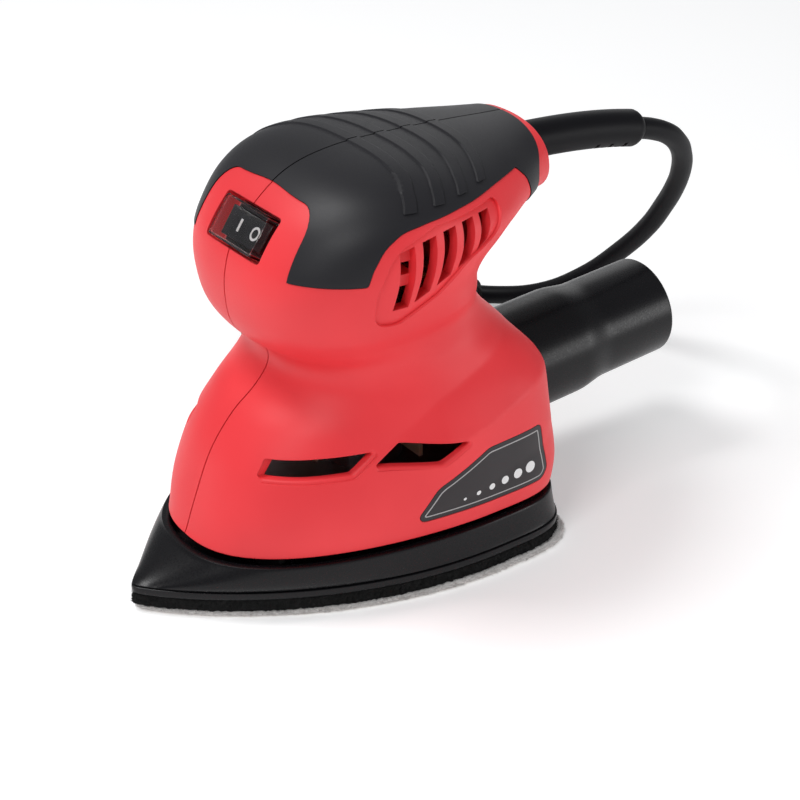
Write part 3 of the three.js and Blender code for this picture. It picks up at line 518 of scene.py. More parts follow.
# ---- materials ----
class Nodes:
    """A small helper that adds and links the nodes of one material."""

    def __init__(self, name):
        self.material = bpy.data.materials.new(name)
        self.material.use_nodes = True
        self.tree = self.material.node_tree
        self.shader = self.tree.nodes["Principled BSDF"]

    def add(self, kind, settings=None, **inputs):
        node = self.tree.nodes.new(kind)
        for key, value in (settings or {}).items():
            setattr(node, key, value)
        for key, value in inputs.items():
            self.feed(node.inputs[key.replace("_", " ")], value)
        return node

    def feed(self, socket, value):
        if isinstance(value, bpy.types.NodeSocket):
            self.tree.links.new(value, socket)
        else:
            socket.default_value = value

    def set(self, **inputs):
        for key, value in inputs.items():
            self.feed(self.shader.inputs[key.replace("_", " ")], value)

    def place(self):
        """Object coordinates in metres, the same on every piece."""
        return self.add("ShaderNodeTexCoord").outputs["Object"]

    def noise(self, size, detail=2.0, rough=0.5, stretch=None):
        """Noise whose features are about size millimetres across."""
        where = self.place()
        if stretch:
            where = self.add("ShaderNodeMapping", Vector=where, Scale=stretch).outputs["Vector"]
        node = self.add(
            "ShaderNodeTexNoise", Vector=where, Scale=1 / (size * MM), Detail=detail, Roughness=rough,
        )
        return node.outputs["Fac"]

    def waves(self, direction, scale, distortion):
        node = self.add(
            "ShaderNodeTexWave", {"bands_direction": direction},
            Vector=self.place(), Scale=scale, Distortion=distortion,
        )
        return node.outputs["Fac"]

    def spread(self, value, low, high, start=0.3, end=0.7):
        """Maps a 0 to 1 pattern to the range from low to high."""
        node = self.add("ShaderNodeMapRange", Value=value)
        for key, number in (("From Min", start), ("From Max", end), ("To Min", low), ("To Max", high)):
            node.inputs[key].default_value = number
        return node.outputs["Result"]

    def tint(self, value, first, second):
        node = self.add("ShaderNodeMix", {"data_type": "RGBA"})
        self.feed(node.inputs["Factor"], value)
        self.feed(node.inputs["A"], (*first, 1))
        self.feed(node.inputs["B"], (*second, 1))
        return node.outputs["Result"]

    def bump(self, height, depth, under=None):
        """A bump whose full height is depth millimetres."""
        inputs = {"Height": height, "Distance": depth * MM, "Strength": 1.0}
        if under is not None:
            inputs["Normal"] = under
        return self.add("ShaderNodeBump", **inputs).outputs["Normal"]

    def edge(self, radius):
        """Normals that run round the edges at a radius in millimetres."""
        return self.add("ShaderNodeBevel", {"samples": 4}, Radius=radius * MM).outputs["Normal"]


def moulded(name, color, dark, rough, grain, grain_depth, edge=0.25, gloss=0.5):
    """Moulded plastic: a fine spark-eroded grain, cloudy gloss and a slight drift of colour."""
    nodes = Nodes(name)
    drift = nodes.noise(34, 2)
    fine = nodes.noise(grain, 2, 0.6)
    nodes.set(
        Base_Color=nodes.tint(nodes.spread(drift, 0, 1), dark, color),
        Roughness=nodes.spread(fine, rough - 0.05, rough + 0.06),
        Normal=nodes.bump(fine, grain_depth, under=nodes.edge(edge)),
        Specular_IOR_Level=gloss,
    )
    return nodes.material


def metal(name, color, rough, brush=None):
    nodes = Nodes(name)
    lines = nodes.noise(0.6, 3, 0.6, brush) if brush else nodes.noise(0.5, 3, 0.6)
    nodes.set(
        Base_Color=nodes.tint(nodes.spread(nodes.noise(7, 3), 0, 1), [0.82 * c for c in color], color),
        Metallic=1.0,
        Roughness=nodes.spread(lines, rough - 0.06, rough + 0.1),
        Normal=nodes.bump(lines, 0.015, under=nodes.edge(0.15)),
    )
    return nodes.material


def soft_fibre(name, dark, light, size, depth, sheen):
    """Felted fibres: strong colour and height noise at the fibre's own scale."""
    nodes = Nodes(name)
    tufts = nodes.noise(size, 5, 0.75)
    clumps = nodes.noise(size * 6, 3)
    nodes.set(
        Base_Color=nodes.tint(nodes.spread(tufts, 0, 1, 0.35, 0.65), dark, light),
        Roughness=nodes.spread(clumps, 0.85, 1.0),
        Specular_IOR_Level=0.2,
        Sheen_Weight=sheen,
        Sheen_Roughness=0.6,
        Normal=nodes.bump(tufts, depth),
    )
    return nodes.material


def laminated(name, color):
    """A stack of thin steel sheets, seen as fine lines across Z."""
    nodes = Nodes(name)
    lines = nodes.waves("Z", 330.0, 0.4)
    nodes.set(
        Base_Color=nodes.tint(lines, [0.55 * c for c in color], color),
        Metallic=0.9,
        Roughness=nodes.spread(lines, 0.35, 0.6, 0, 1),
        Normal=nodes.bump(lines, 0.06),
    )
    return nodes.material


def wound(name, color):
    """Enamelled copper wire laid turn beside turn."""
    nodes = Nodes(name)
    wires = nodes.waves("DIAGONAL", 420.0, 1.5)
    nodes.set(
        Base_Color=nodes.tint(wires, [0.3 * c for c in color], color),
        Metallic=0.75,
        Roughness=nodes.spread(wires, 0.3, 0.5, 0, 1),
        Coat_Weight=0.6,
        Normal=nodes.bump(wires, 0.25),
    )
    return nodes.material


def clear_plastic(name):
    nodes = Nodes(name)
    smears = nodes.noise(9, 3)
    nodes.set(
        Base_Color=(0.96, 0.95, 0.94, 1),
        Transmission_Weight=1.0,
        IOR=1.3,
        Roughness=nodes.spread(smears, 0.01, 0.04),
    )
    return nodes.material


def flat_ink(name, color):
    nodes = Nodes(name)
    speckle = nodes.noise(0.25, 2)
    nodes.set(
        Base_Color=nodes.tint(nodes.spread(speckle, 0, 1), [0.9 * c for c in color], color),
        Roughness=nodes.spread(speckle, 0.4, 0.5),
    )
    return nodes.material


def grit(name):
    """The abrasive face: pale grains bonded to paper."""
    nodes = Nodes(name)
    cells = nodes.add("ShaderNodeTexVoronoi", Vector=nodes.place(), Scale=2600.0)
    grains = cells.outputs["Distance"]
    nodes.set(
        Base_Color=nodes.tint(nodes.spread(grains, 0, 1, 0.1, 0.6), (0.74, 0.68, 0.6), (0.42, 0.33, 0.25)),
        Roughness=nodes.spread(grains, 0.7, 0.95, 0, 1),
        Normal=nodes.bump(grains, 0.3),
    )
    return nodes.material


RED = moulded("red plastic", (0.86, 0.042, 0.051), (0.79, 0.032, 0.041), 0.47, 0.32, 0.035, 0.3, 0.4)
GRIP = moulded("soft grip", (0.014, 0.0135, 0.0165), (0.011, 0.0105, 0.013), 0.46, 0.3, 0.03, 0.2, 0.32)
BLACK = moulded("black plastic", (0.010, 0.0095, 0.012), (0.007, 0.0065, 0.009), 0.34, 0.5, 0.006, 0.2, 0.3)
RUBBER = moulded("black rubber", (0.005, 0.0048, 0.0065), (0.004, 0.0038, 0.005), 0.48, 0.3, 0.012, 0.2, 0.13)
SATIN = moulded(
    "satin black plastic", (0.005, 0.0048, 0.006), (0.004, 0.0038, 0.0048), 0.3, 0.6, 0.005, 0.25, 0.24,
)
LABEL = moulded("label film", (0.029, 0.025, 0.027), (0.025, 0.022, 0.024), 0.36, 0.15, 0.004, 0.1, 0.3)
NYLON = moulded("fan nylon", (0.66, 0.52, 0.36), (0.58, 0.45, 0.3), 0.5, 0.5, 0.02)
HOOKS = soft_fibre("hook fibre", (0.003, 0.003, 0.003), (0.014, 0.014, 0.014), 0.3, 0.5, 0.02)
FLEECE = soft_fibre("sheet backing", (0.66, 0.62, 0.59), (0.96, 0.94, 0.93), 0.4, 0.35, 0.3)
GRIT = grit("abrasive")
CLEAR = clear_plastic("clear plastic")
WHITE_INK = flat_ink("white ink", (0.82, 0.82, 0.82))
GREY_INK = flat_ink("grey ink", (0.42, 0.41, 0.41))
STEEL = metal("steel", (0.56, 0.56, 0.58), 0.28)
DARK_STEEL = metal("blackened steel", (0.16, 0.155, 0.15), 0.35)
ALLOY = metal("cast alloy", (0.44, 0.45, 0.47), 0.42)
BRASS = metal("brass", (0.66, 0.47, 0.19), 0.28)
NICKEL = metal("nickel", (0.62, 0.6, 0.56), 0.2, (1, 1, 6))
CARBON = metal("carbon", (0.03, 0.03, 0.032), 0.6)
COPPER = wound("enamelled copper", (0.66, 0.3, 0.15))
BARS = metal("commutator copper", (0.7, 0.36, 0.22), 0.25)
STACK = laminated("lamination stack", (0.32, 0.32, 0.34))


def dress(piece, material, rides="housing", instead_of=()):
    """Gives a piece its material and its body, and hides the CAD nodes it stands for."""
    piece.data.materials.clear()
    piece.data.materials.append(material)
    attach(piece, rides)
    if instead_of:
        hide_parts(*([instead_of] if isinstance(instead_of, str) else instead_of))
    return piece


# ---- camera ----
def make_camera():
    azimuth, elevation = math.radians(CAMERA["azimuth"]), math.radians(CAMERA["elevation"])
    level = math.cos(elevation)
    back = Vector((math.sin(azimuth) * level, -math.cos(azimuth) * level, math.sin(elevation)))
    data = bpy.data.cameras.new("camera")
    data.lens = CAMERA["lens"]
    data.sensor_width = 36
    camera = in_scene("camera", data)
    camera.location = (Vector(CAMERA["target"]) + back * CAMERA["distance"]) * MM
    camera.rotation_euler = back.to_track_quat("Z", "Y").to_euler()
    bpy.context.scene.camera = camera


# ---- mains cord, strain relief, coil, tie and plug ----
def coil_points():
    """The coil's centreline, anticlockwise and from the bottom layer up.

    Each jog to the next place in the coil starts before the jog under it, so that the turns stay clear.
    """
    inner, outer = COIL["middle"] - COIL["aside"], COIL["middle"] + COIL["aside"]
    low, layer = COIL["bottom"] + 3.45, 2 * CORD_RADIUS
    first, last, step, jog, jog_from = COIL_TURNS.values()
    places = [
        (outer, low), (inner, low), (inner, low + layer), (outer, low + layer),
        (outer, low + 2 * layer), (inner, low + 2 * layer), (COIL["middle"], low + 3 * layer),
    ]
    points = []
    for k in range(int((last - first) / step) + 1):
        turn = first + k * step
        radius, height = places[0]
        for i, (next_radius, next_height) in enumerate(places[1:]):
            share = float(smooth_step(0, 1, (turn - (jog_from + i * (360 - jog))) / jog))
            radius += (next_radius - places[i][0]) * share
            height += (next_height - places[i][1]) * share
        angle = math.radians(turn)
        x, y = COIL["centre"]
        points.append((x + radius * math.cos(angle), y + radius * math.sin(angle), height))
    return points


def on_coil(across, along, height, angle):
    """A point beside the coil's middle line at an angle: across it, along it and at a height."""
    x, y = COIL["middle"] + across, along
    cos, sin = math.cos(angle), math.sin(angle)
    return (COIL["centre"][0] + x * cos - y * sin, COIL["centre"][1] + x * sin + y * cos, height)


def make_cord():
    plug_axis = PLUG["bottom"] + PLUG["high"] / 2
    route = CORD_ROUTE + coil_points()
    route += [on_coil(0, along, plug_axis - drop, PLUG["angle"]) for along, drop in ((-22, 0.6), (-15, 0))]
    curve = bpy.data.curves.new("mains_lead", "CURVE")
    curve.dimensions = "3D"
    curve.resolution_u = 6
    curve.bevel_depth = CORD_RADIUS * MM
    curve.bevel_resolution = 5
    curve.use_fill_caps = True
    line = curve.splines.new("BEZIER")
    line.bezier_points.add(len(route) - 1)
    for point, place in zip(line.bezier_points, route):
        point.co = Vector(place) * MM
        point.handle_left_type = point.handle_right_type = "AUTO"
    return dress(in_scene("mains_lead", curve), RUBBER, instead_of=["mains_cord", "cord_coil"])


def along_path(path, spacing):
    """Even points on a smooth line through path, with the direction and the distance at each."""
    path = np.array(path, float)
    count = len(path) * 24
    fine = np.array([spline(path, k / count) for k in range(count + 1)])
    travel = np.concatenate([[0], np.cumsum(np.linalg.norm(np.diff(fine, axis=0), axis=1))])
    even = np.linspace(0, travel[-1], max(2, int(travel[-1] / spacing)) + 1)
    points = np.stack([np.interp(even, travel, fine[:, axis]) for axis in range(3)], 1)
    heading = np.gradient(points, axis=0)
    return points, heading / np.linalg.norm(heading, axis=1)[:, None], even


def pipe(name, path, radius_at, spacing=1.0):
    """A solid round bar along a path in the XZ plane; radius_at gives its radius at a distance."""
    points, heading, travel = along_path(path, spacing)
    rings = []
    for point, forward, distance in zip(points, heading, travel):
        up = np.cross(forward, (0, 1, 0))
        up /= np.linalg.norm(up)
        angles = turns(40)[:, None]
        around = np.cos(angles) * (0, 1, 0) + np.sin(angles) * up
        rings.append(point + radius_at(distance, travel[-1]) * around)
    return loft(name, rings)


def relief_radius(distance, whole):
    """Constant, with a rounded and bevelled end round the cord."""
    share = max(0, 1 - (whole - distance) / RELIEF["taper"])
    return RELIEF["radius"] - RELIEF["taper_in"] * share**1.4


def make_strain_relief():
    sleeve = pipe("cord_sleeve", RELIEF_PATH, relief_radius, 0.8)
    start, height = RELIEF["start"], RELIEF["height"]
    flange = pipe("flange", [(start - 2.4, 0, height), (start + 0.6, 0, height)], lambda *_: RELIEF["flange"])
    slots = []
    for i in range(RELIEF_SLOTS["count"]):
        along = RELIEF_SLOTS["step"] * i
        x = RELIEF_SLOTS["start"] + along
        low = RELIEF_SLOTS["height"] - RELIEF_SLOTS["fall"] * along - RELIEF["radius"]
        side = 5.5 if i % 2 else -5.5
        slots.append(box("slot", (x, side - 9, low - 3), (x + RELIEF_SLOTS["wide"], side + 9, low + 2.9)))
    cut(join(sleeve, flange), *slots)
    soften(sleeve, 40)
    dress(sleeve, RUBBER, instead_of="strain_relief")


def make_coil_tie():
    """A flat strap round the turns."""
    side = COIL["half"] + 0.55
    low, high = COIL["bottom"] - 0.45, COIL["top"] + 0.45
    inside = rounded([(across, height, TIE["corner"]) for across, height in (
        (-side, low), (side, low), (side, high), (-side, high),
    )])
    half, rounding = TIE["half"], 0.2
    rings = []
    for inner, outer in zip(inside, grown(inside, TIE["thick"])):
        edges = ((inner, -half), (outer, rounding - half), (outer, half - rounding), (inner, half))
        rings.append([on_coil(point[0], along, point[1], TIE["angle"]) for point, along in edges])
    return dress(loft("cord_strap", rings, closed=True), HOOKS, instead_of="coil_tie")


def make_plug():
    """A moulded two-pin plug with a ribbed sleeve at the cord."""
    axis = PLUG["bottom"] + PLUG["high"] / 2
    sections = [
        (-17.0, 4.4, 4.4, 2.0), (-16.6, 4.9, 4.9, 2.0), (-14.2, 5.0, 5.0, 2.0), (-14.0, 4.4, 4.4, 2.0),
        (-13.2, 4.4, 4.4, 2.0), (-13.0, 5.2, 5.1, 2.0), (-11.2, 5.4, 5.2, 2.1), (-11.0, 4.7, 4.7, 2.1),
        (-10.2, 4.7, 4.7, 2.1), (-10.0, 5.8, 5.4, 2.2), (-8.0, 7.2, 5.8, 2.6), (-5.0, 8.2, 6.3, 3.0),
        (0.0, 8.5, 6.7, 3.4), (7.0, 8.0, 6.9, 3.6), (12.0, 7.4, 6.9, 3.8), (13.0, 6.9, 6.5, 3.8),
        (13.9, 6.9, 6.5, 3.8), (14.6, 7.4, 6.9, 3.8), (16.4, 7.4, 6.9, 3.8), (17.0, 6.8, 6.3, 3.8),
    ]
    rings = []
    for along, wide, high, power in sections:
        ring = []
        for angle in turns(40):
            reach = abs(math.cos(angle)) ** (2 / power) * math.copysign(wide, math.cos(angle))
            rise = abs(math.sin(angle)) ** (2 / power) * math.copysign(high, math.sin(angle))
            ring.append(on_coil(reach, along, axis + rise, PLUG["angle"]))
        rings.append(ring)
    pieces = [dress(loft("mains_plug", rings), RUBBER, instead_of="plug_body")]
    profile = [(17.3, 2.0), (26.9, 2.0), (27.1, 1.95), (35.2, 1.95), (36.0, 1.6), (36.3, 0.8)]
    for side, word in ((-1, "left"), (1, "right")):
        rings = []
        for along, radius in profile:
            ring = circle(radius, 0, (PLUG["pins_out"] * side, axis), 24)
            rings.append([on_coil(across, along, height, PLUG["angle"]) for across, height, _ in ring])
        pin = loft(f"plug_pin_{word}_turned", rings)
        pieces.append(dress(pin, NICKEL, instead_of=f"plug_pin_{word}"))
    return pieces


# ---- housing ----
def switch_place():
    """The switch's own axes: x up its face, y across the sander, z out of its face."""
    return Matrix.Translation(SWITCH_CENTRE * MM) @ Matrix.Rotation(SWITCH_LEAN - math.pi / 2, 4, "Y")


def switch_block(name, tall, wide, z0, z1, corner=0.0):
    """A block on the switch's axes, tall and wide to each side of its middle, with rounded upright edges."""
    outline = [(-tall, -wide), (tall, -wide), (tall, wide), (-tall, wide)]
    if corner:
        outline = rounded([(*point, corner) for point in outline], 5)
    block = level_prism(name, outline, z0, z1)
    block.data.transform(switch_place())
    return block


def port_place():
    slope = math.radians(TUBE["slope"])
    start_height = TUBE["end_height"] - (TUBE["end"] - TUBE["start"]) * math.tan(slope)
    lay_down = Matrix.Rotation(math.pi / 2 - slope, 4, "Y")
    return Matrix.Translation(Vector((TUBE["start"], 0, start_height)) * MM) @ lay_down


def on_port(name, outline):
    """A closed outline of radius, distance pairs turned about the dust port's axis."""
    piece = turned(name, outline, 96)
    piece.data.transform(port_place())
    return piece


def vent_slots():
    """Five upright slots whose tops and bottoms follow the panel's edges."""
    shares = np.linspace(0, 1, 9)
    bow = VENTS["bow"] * np.sin(math.pi * shares)
    middle, height, curvature = VENTS["arch"]
    slots = []
    for i in range(VENTS["count"]):
        sides = []
        for (x, step), (x_top, top_step) in zip(VENTS["bottom"], VENTS["top"]):
            x += step * i
            x_top += top_step * i
            bottom = max(VENTS["lowest"], VENTS["sill"][0] + VENTS["sill"][1] * x)
            top = height - curvature * (x_top - middle) ** 2
            sides.append(np.stack([x + (x_top - x) * shares + bow, bottom + (top - bottom) * shares], 1))
        slots.append(np.concatenate([sides[0], sides[1][::-1]]))
    return slots


def both_sides(name, outline, lip, inner):
    return [lipped_prism(name, outline, lip, side, inner) for side in (1, -1)]


def make_cavity():
    grid = BODY_GRID - BODY_FACING * WALL
    grid = grid[::3, ::2]
    cavity = loft("cavity", [grid[0] - (0, 0, 6), *grid])
    thick = side_prism("pad", grown(rounded(VENT_PANEL), 2.5))
    cut(thick, body("inside", -VENT_WALL, every=2))
    return cut(cavity, box("tail_wall", (TAIL_WALL, -50, 90), (90, 50, 150)), thick)


def make_inside():
    """Screw bosses, the block round the switch and the sleeve round the dust port."""
    inside, *bosses = [cross_rod("boss", SCREW["boss"], -60, 60, place) for place in HOUSING_SCREWS]
    tall, wide = SWITCH_RECESS["tall"] / 2 + SEAT_WALL, SWITCH_RECESS["wide"] / 2 + SEAT_WALL
    inner, outer = TUBE["root"] + 0.4, TUBE["root"] + 3.2
    sleeve = on_port("sleeve", [(inner, -1.5), (outer, -1.5), (outer, 16), (inner, 16)])
    join(inside, *bosses, switch_block("seat", tall, wide, -SEAT_DEPTH, 0), sleeve)
    return common(inside, body("limit", -0.9, every=2))


def inner_ribs():
    """Cross ribs behind the first vent slot, on both sides."""
    front, rear, reach = INNER_RIBS["front"], INNER_RIBS["rear"], INNER_RIBS["reach"]
    ribs = []
    for z0, z1 in INNER_RIBS["heights"]:
        rib = box("rib", (front, -60, z0), (rear, 60, z1))
        common(rib, body("rib_top", INNER_RIBS["proud"] - VENT_WALL, every=2))
        ribs.append(cut(rib, box("middle", (front - 1, -reach, z0 - 1), (rear + 1, reach, z1 + 1))))
    return ribs


def screw_seat(place):
    """How far from the centre plane the head of a housing screw rests."""
    return min(side_surface(*place) - SCREW["cover"], SCREW["seat"])


def split_halves(whole, name, gap, material, stands_for=None):
    """Parts a piece into a dressed left and right one, each gap off the centre plane. It is used up."""
    for word, low, high in (("left", gap, FAR_SIDE), ("right", -FAR_SIDE, -gap)):
        half = common(twin(whole, f"{name}_{word}"), box("half", (-110, low, 0), (110, high, 160)))
        soften(half, 38)
        dress(half, material, instead_of=f"{stands_for}_{word}" if stands_for else ())
    bpy.data.objects.remove(whole)


def make_housing():
    shell = cut(twin(OUTER, "shell"), make_cavity())
    join(shell, make_inside())
    recess = side_prism("grip_recess", divided(grown(rounded(GRIP_OUTLINE), FIT_GAP)))
    face = front_prism("face", divided(grown(rounded(FACE_OUTLINE), -FIT_GAP)), -80, -22)
    cut(recess, face, body("grip_floor", -GRIP_DEPTH - 0.1))
    label = side_prism("label_recess", grown(rounded(LABEL_OUTLINE), 0.22))
    cut(label, body("label_floor", -LABEL_DEPTH - 0.05))
    panels = both_sides("panel", rounded(VENT_PANEL), LIP["panel"], 0)
    for panel in panels:
        cut(panel, body("panel_floor", -PANEL_DEPTH))
    cut(shell, recess, label, *panels)
    for slot in vent_slots():
        cut(shell, *both_sides("vent", slot, LIP["vent"], SLOT_REACH))
    for slot in (FRONT_SLOT, REAR_SLOT):
        cut(shell, *both_sides("slot", rounded(slot), LIP["slot"], SLOT_REACH))
    tall, wide = SWITCH_RECESS["tall"] / 2, SWITCH_RECESS["wide"] / 2
    case_tall, case_wide = SWITCH_CASE["tall"] / 2, SWITCH_CASE["wide"] / 2
    port = TUBE["root"] + 0.3
    cut(
        shell,
        switch_block("recess", tall, wide, -SWITCH_RECESS["depth"], 20, 1.4),
        switch_block("window", case_tall + 0.3, case_wide + 0.3, -30, 0, 0.6),
        on_port("port", [(0.01, -6), (port, -6), (port, 30), (0.01, 30)]),
        pipe("relief_hole", RELIEF_PATH, lambda *_: RELIEF["radius"] + 0.3, 4),
    )
    join(shell, *inner_ribs())
    for place in HOUSING_SCREWS:
        bore = cross_rod("bore", SCREW["bore"], screw_seat(place), 60, place)
        cut(shell, bore, cross_rod("shank", SCREW["shank"], -10, 60, place))
    split_halves(shell, "casing", SPLIT, RED, "housing")


def rib_outline(i):
    """A band across the grip, leaning back as it climbs."""
    x = GRIP_RIBS["start"] + GRIP_RIBS["step"] * i
    rise = [(x, 127.1 + 0.4 * i), (x + 3.2, 131), (x + 6.5, 133.4), (x + 10, 138)]
    return np.array(rise + [(x + GRIP_RIBS["wide"], z) for x, z in reversed(rise)])


def make_grips():
    layer = side_prism("grip", divided(rounded(GRIP_OUTLINE)))
    common(layer, body("grip_top", GRIP_RISE))
    for i in range(GRIP_RIBS["count"]):
        rib = side_prism("rib", divided(rib_outline(i), 1.0))
        common(rib, body("rib_top", GRIP_RISE + GRIP_RIBS["high"]))
        join(layer, cut(rib, body("rib_floor", -0.4)))
    face = front_prism("face", divided(rounded(FACE_OUTLINE)), -80, -22)
    cut(layer, face, body("grip_floor", -GRIP_DEPTH))
    split_halves(layer, "grip_pad", SPLIT, GRIP, "grip")


def make_labels():
    """A dark film in a recess on each side, with a plain border line and a row of dots."""
    outline = rounded(LABEL_OUTLINE)
    film = common(side_prism("film", outline), body("film_top", -0.05))
    cut(film, body("film_floor", -LABEL_DEPTH))
    border = side_prism("border", grown(outline, -LABEL_LINE["in"]))
    cut(border, side_prism("inside", grown(outline, -LABEL_LINE["in"] - LABEL_LINE["wide"])))
    dots = []
    for i in range(LABEL_DOTS["count"]):
        place = [start + step * i for start, step in zip(LABEL_DOTS["place"], LABEL_DOTS["step"])]
        dots.append(cross_rod("dot", LABEL_DOTS["radius"] + LABEL_DOTS["growth"] * i, -60, 60, place, 32))
    join(*dots)
    for name, ink, shape in (("label_border", GREY_INK, border), ("label_dots", WHITE_INK, dots[0])):
        common(shape, body("ink_top", 0.0))
        cut(shape, body("ink_floor", -0.06))
        split_halves(shape, name, 0, ink)
    split_halves(film, "label_film", 0, LABEL, "label")


def make_housing_screws():
    """Pan heads with a cross recess, at the bottom of their bores."""
    for i, place in enumerate(HOUSING_SCREWS):
        seat = screw_seat(place) + 0.05
        profile = [
            (0.01, seat - 12), (1.4, seat - 12), (1.4, seat), (3.2, seat), (3.2, seat + 1.2),
            (2.5, seat + 1.95), (1.2, seat + 2.2), (0.01, seat + 2.25),
        ]
        screw = turned(f"screw_{i + 1}", profile, 40)
        for x, y in ((1.7, 0.35), (0.35, 1.7)):
            cut(screw, box("cross", (-x, -y, seat + 0.9), (x, y, seat + 4)))
        move = Matrix.Translation(Vector((place[0], 0, place[1])) * MM)
        screw.data.transform(move @ Matrix.Rotation(-math.pi / 2, 4, "X"))
        soften(screw, 38)
        dress(screw, DARK_STEEL, instead_of=f"housing_screw_{i + 1}")


# ---- switch ----
def make_switch():
    wide, tall = SWITCH_CASE["wide"] / 2, SWITCH_CASE["tall"] / 2
    floor = 0.05 - SWITCH_RECESS["depth"]
    case = switch_block("switch_case", tall + 0.8, wide + 0.8, floor, SWITCH_CAP["base"] - 0.05, 0.8)
    join(case, switch_block("case", tall, wide, SWITCH_CASE["back"], floor + 0.5, 0.5))
    cut(case, switch_block("well", tall - 1, wide - 0.7, SWITCH_CASE["well"], 4, 0.4))
    soften(case, 38)
    dress(case, BLACK, instead_of="switch_body")

    half = tall - 1.25
    rise = [(8.6, -0.5), (8.1, -0.3), (5, -0.9), (2, -1.5), (0, -1.65)]
    face = [(-y, z) for y, z in rise[:-1]] + rise[::-1]
    profile = face + [(8.6, -3.1), (4.5, -9.5), (-4.5, -9.5), (-8.6, -3.1)]
    sides = [[(x, y, z - ROCKER_PIVOT) for y, z in profile] for x in (-half, half)]
    rocker = loft("rocker_key", sides, smooth=30)
    round_edges(rocker, 0.3, 3)
    pivot = switch_place() @ Matrix.Translation((0, 0, ROCKER_PIVOT * MM))
    tilt = pivot @ Matrix.Rotation(ROCKER_TILT, 4, "X")
    rocker.data.transform(tilt)
    dress(rocker, BLACK, rides="switch", instead_of="switch_rocker")

    slope = math.atan2(0.6, 3)  # of the rocker's face beside its middle
    marks = {
        "mark_on": ([(-2, -0.38), (2, -0.38), (2, 0.38), (-2, 0.38)], None, 1),
        "mark_off": (circle(2.2, segments=40)[:, :2], circle(1.45, segments=40)[:, :2], -1),
    }
    for name, (outside, inside, side) in marks.items():
        mark = level_prism(name, outside, -0.25, 0.07)
        if inside is not None:
            cut(mark, level_prism("hole", inside, -1, 1))
        place = Matrix.Translation(Vector((0, MARK["out"] * side, MARK["height"] - ROCKER_PIVOT)) * MM)
        mark.data.transform(tilt @ place @ Matrix.Rotation(slope * side, 4, "X"))
        soften(mark, 38)
        dress(mark, WHITE_INK, rides="switch")

    tall, wide, base, high, wall = (SWITCH_CAP[key] for key in ("tall", "wide", "base", "high", "wall"))
    cap = switch_block("clear_cover", tall / 2, wide / 2, base, high, 0.9)
    cut(cap, switch_block("hollow", tall / 2 - wall, wide / 2 - wall, base - 2, high - wall, 0.5))
    round_edges(cap, 0.18, 2)
    dress(cap, CLEAR, instead_of="switch_cap")


# ---- shoe, pad and sheet ----
def shoe_ring(share, z, inset, count=360):
    """The shoe's outline at a height; share runs from 0 at the lip to 1 at the upper rim."""
    rim = BODY_LEVELS[0]
    lip = [
        SHOE["tip"], z, SHOE["heel"], z, SHOE["half"],
        (SHOE["wide"] - SHOE["tip"]) / (SHOE["heel"] - SHOE["tip"]), 2, 1.15, 4.6, 4.2,
    ]
    top = [rim[0] - 2.8, z, rim[2] - 0.2, z, rim[4] + 1.1, *rim[5:]]
    ring = level_ring(np.array(lip) * (1 - share) + np.array(top) * share, count, inset)
    for _ in range(3):
        ring = 0.25 * np.roll(ring, 1, axis=0) + 0.5 * ring + 0.25 * np.roll(ring, -1, axis=0)
    return ring


def make_shoe():
    foot = SHOE_LIP + 0.55
    skirt = [(s, foot + (SHOE_TOP - 0.35 - foot) * s**1.3, 0.45 * (1 - s)) for s in np.linspace(0, 1, 16)]
    levels = [
        (0, PAD_TOP + 0.05, 0.8), (0, PAD_TOP + 0.12, 0.35), (0, PAD_TOP + 0.45, 0.06), (0, PAD_TOP + 0.9, 0),
        (0, SHOE_LIP - 0.5, 0), (0, SHOE_LIP - 0.15, 0.1), (0, SHOE_LIP, 0.4), (0, SHOE_LIP + 0.03, 1.1),
        (0, SHOE_LIP + 0.38, 1.1), *skirt,
        (1, SHOE_TOP - 0.1, 0.15), (1, SHOE_TOP, 0.45),
        (1, SHOE_TOP, SHOE_WALL - 0.5), (1, SHOE_TOP - 0.2, SHOE_WALL),
        (0.6, 14.2, 0.4 + SHOE_WALL), (0.1, SHOE_FLOOR, 2.4 + SHOE_WALL),
    ]
    shoe = loft("shoe_plate", [shoe_ring(*level) for level in levels], smooth=40)
    hub = rod("hub", 14, SHOE_FLOOR - 1, 17, (ORBIT, 0))
    join(shoe, hub, *[rod("cup", 7, SHOE_FLOOR - 1, CUP_TOP, place) for place in LEG_PLACES])
    pocket = rod("pocket", 11.05, SHOE_FLOOR, 20, (ORBIT, 0))
    cut(shoe, pocket, *[rod("seat", 5.3, SHOE_FLOOR, CUP_TOP + 2, place) for place in LEG_PLACES])
    soften(shoe, 40)
    dress(shoe, SATIN, "shoe", "orbiting_shoe")


def frayed(ring, amount, seed):
    """Pushes the points of a ring in and out like a cut fibre edge."""
    middle = ring.mean(axis=0)
    moved = []
    for i, point in enumerate(ring):
        out = Vector(point - middle)
        out.z = 0
        coarse = noise.noise(Vector(point) * 0.9 + Vector((seed, 0, 0)))
        push = coarse + 0.6 * noise.noise(Vector(point) * 2.6)
        moved.append(point + np.array(out.normalized()) * amount * push)
    return np.array(moved)


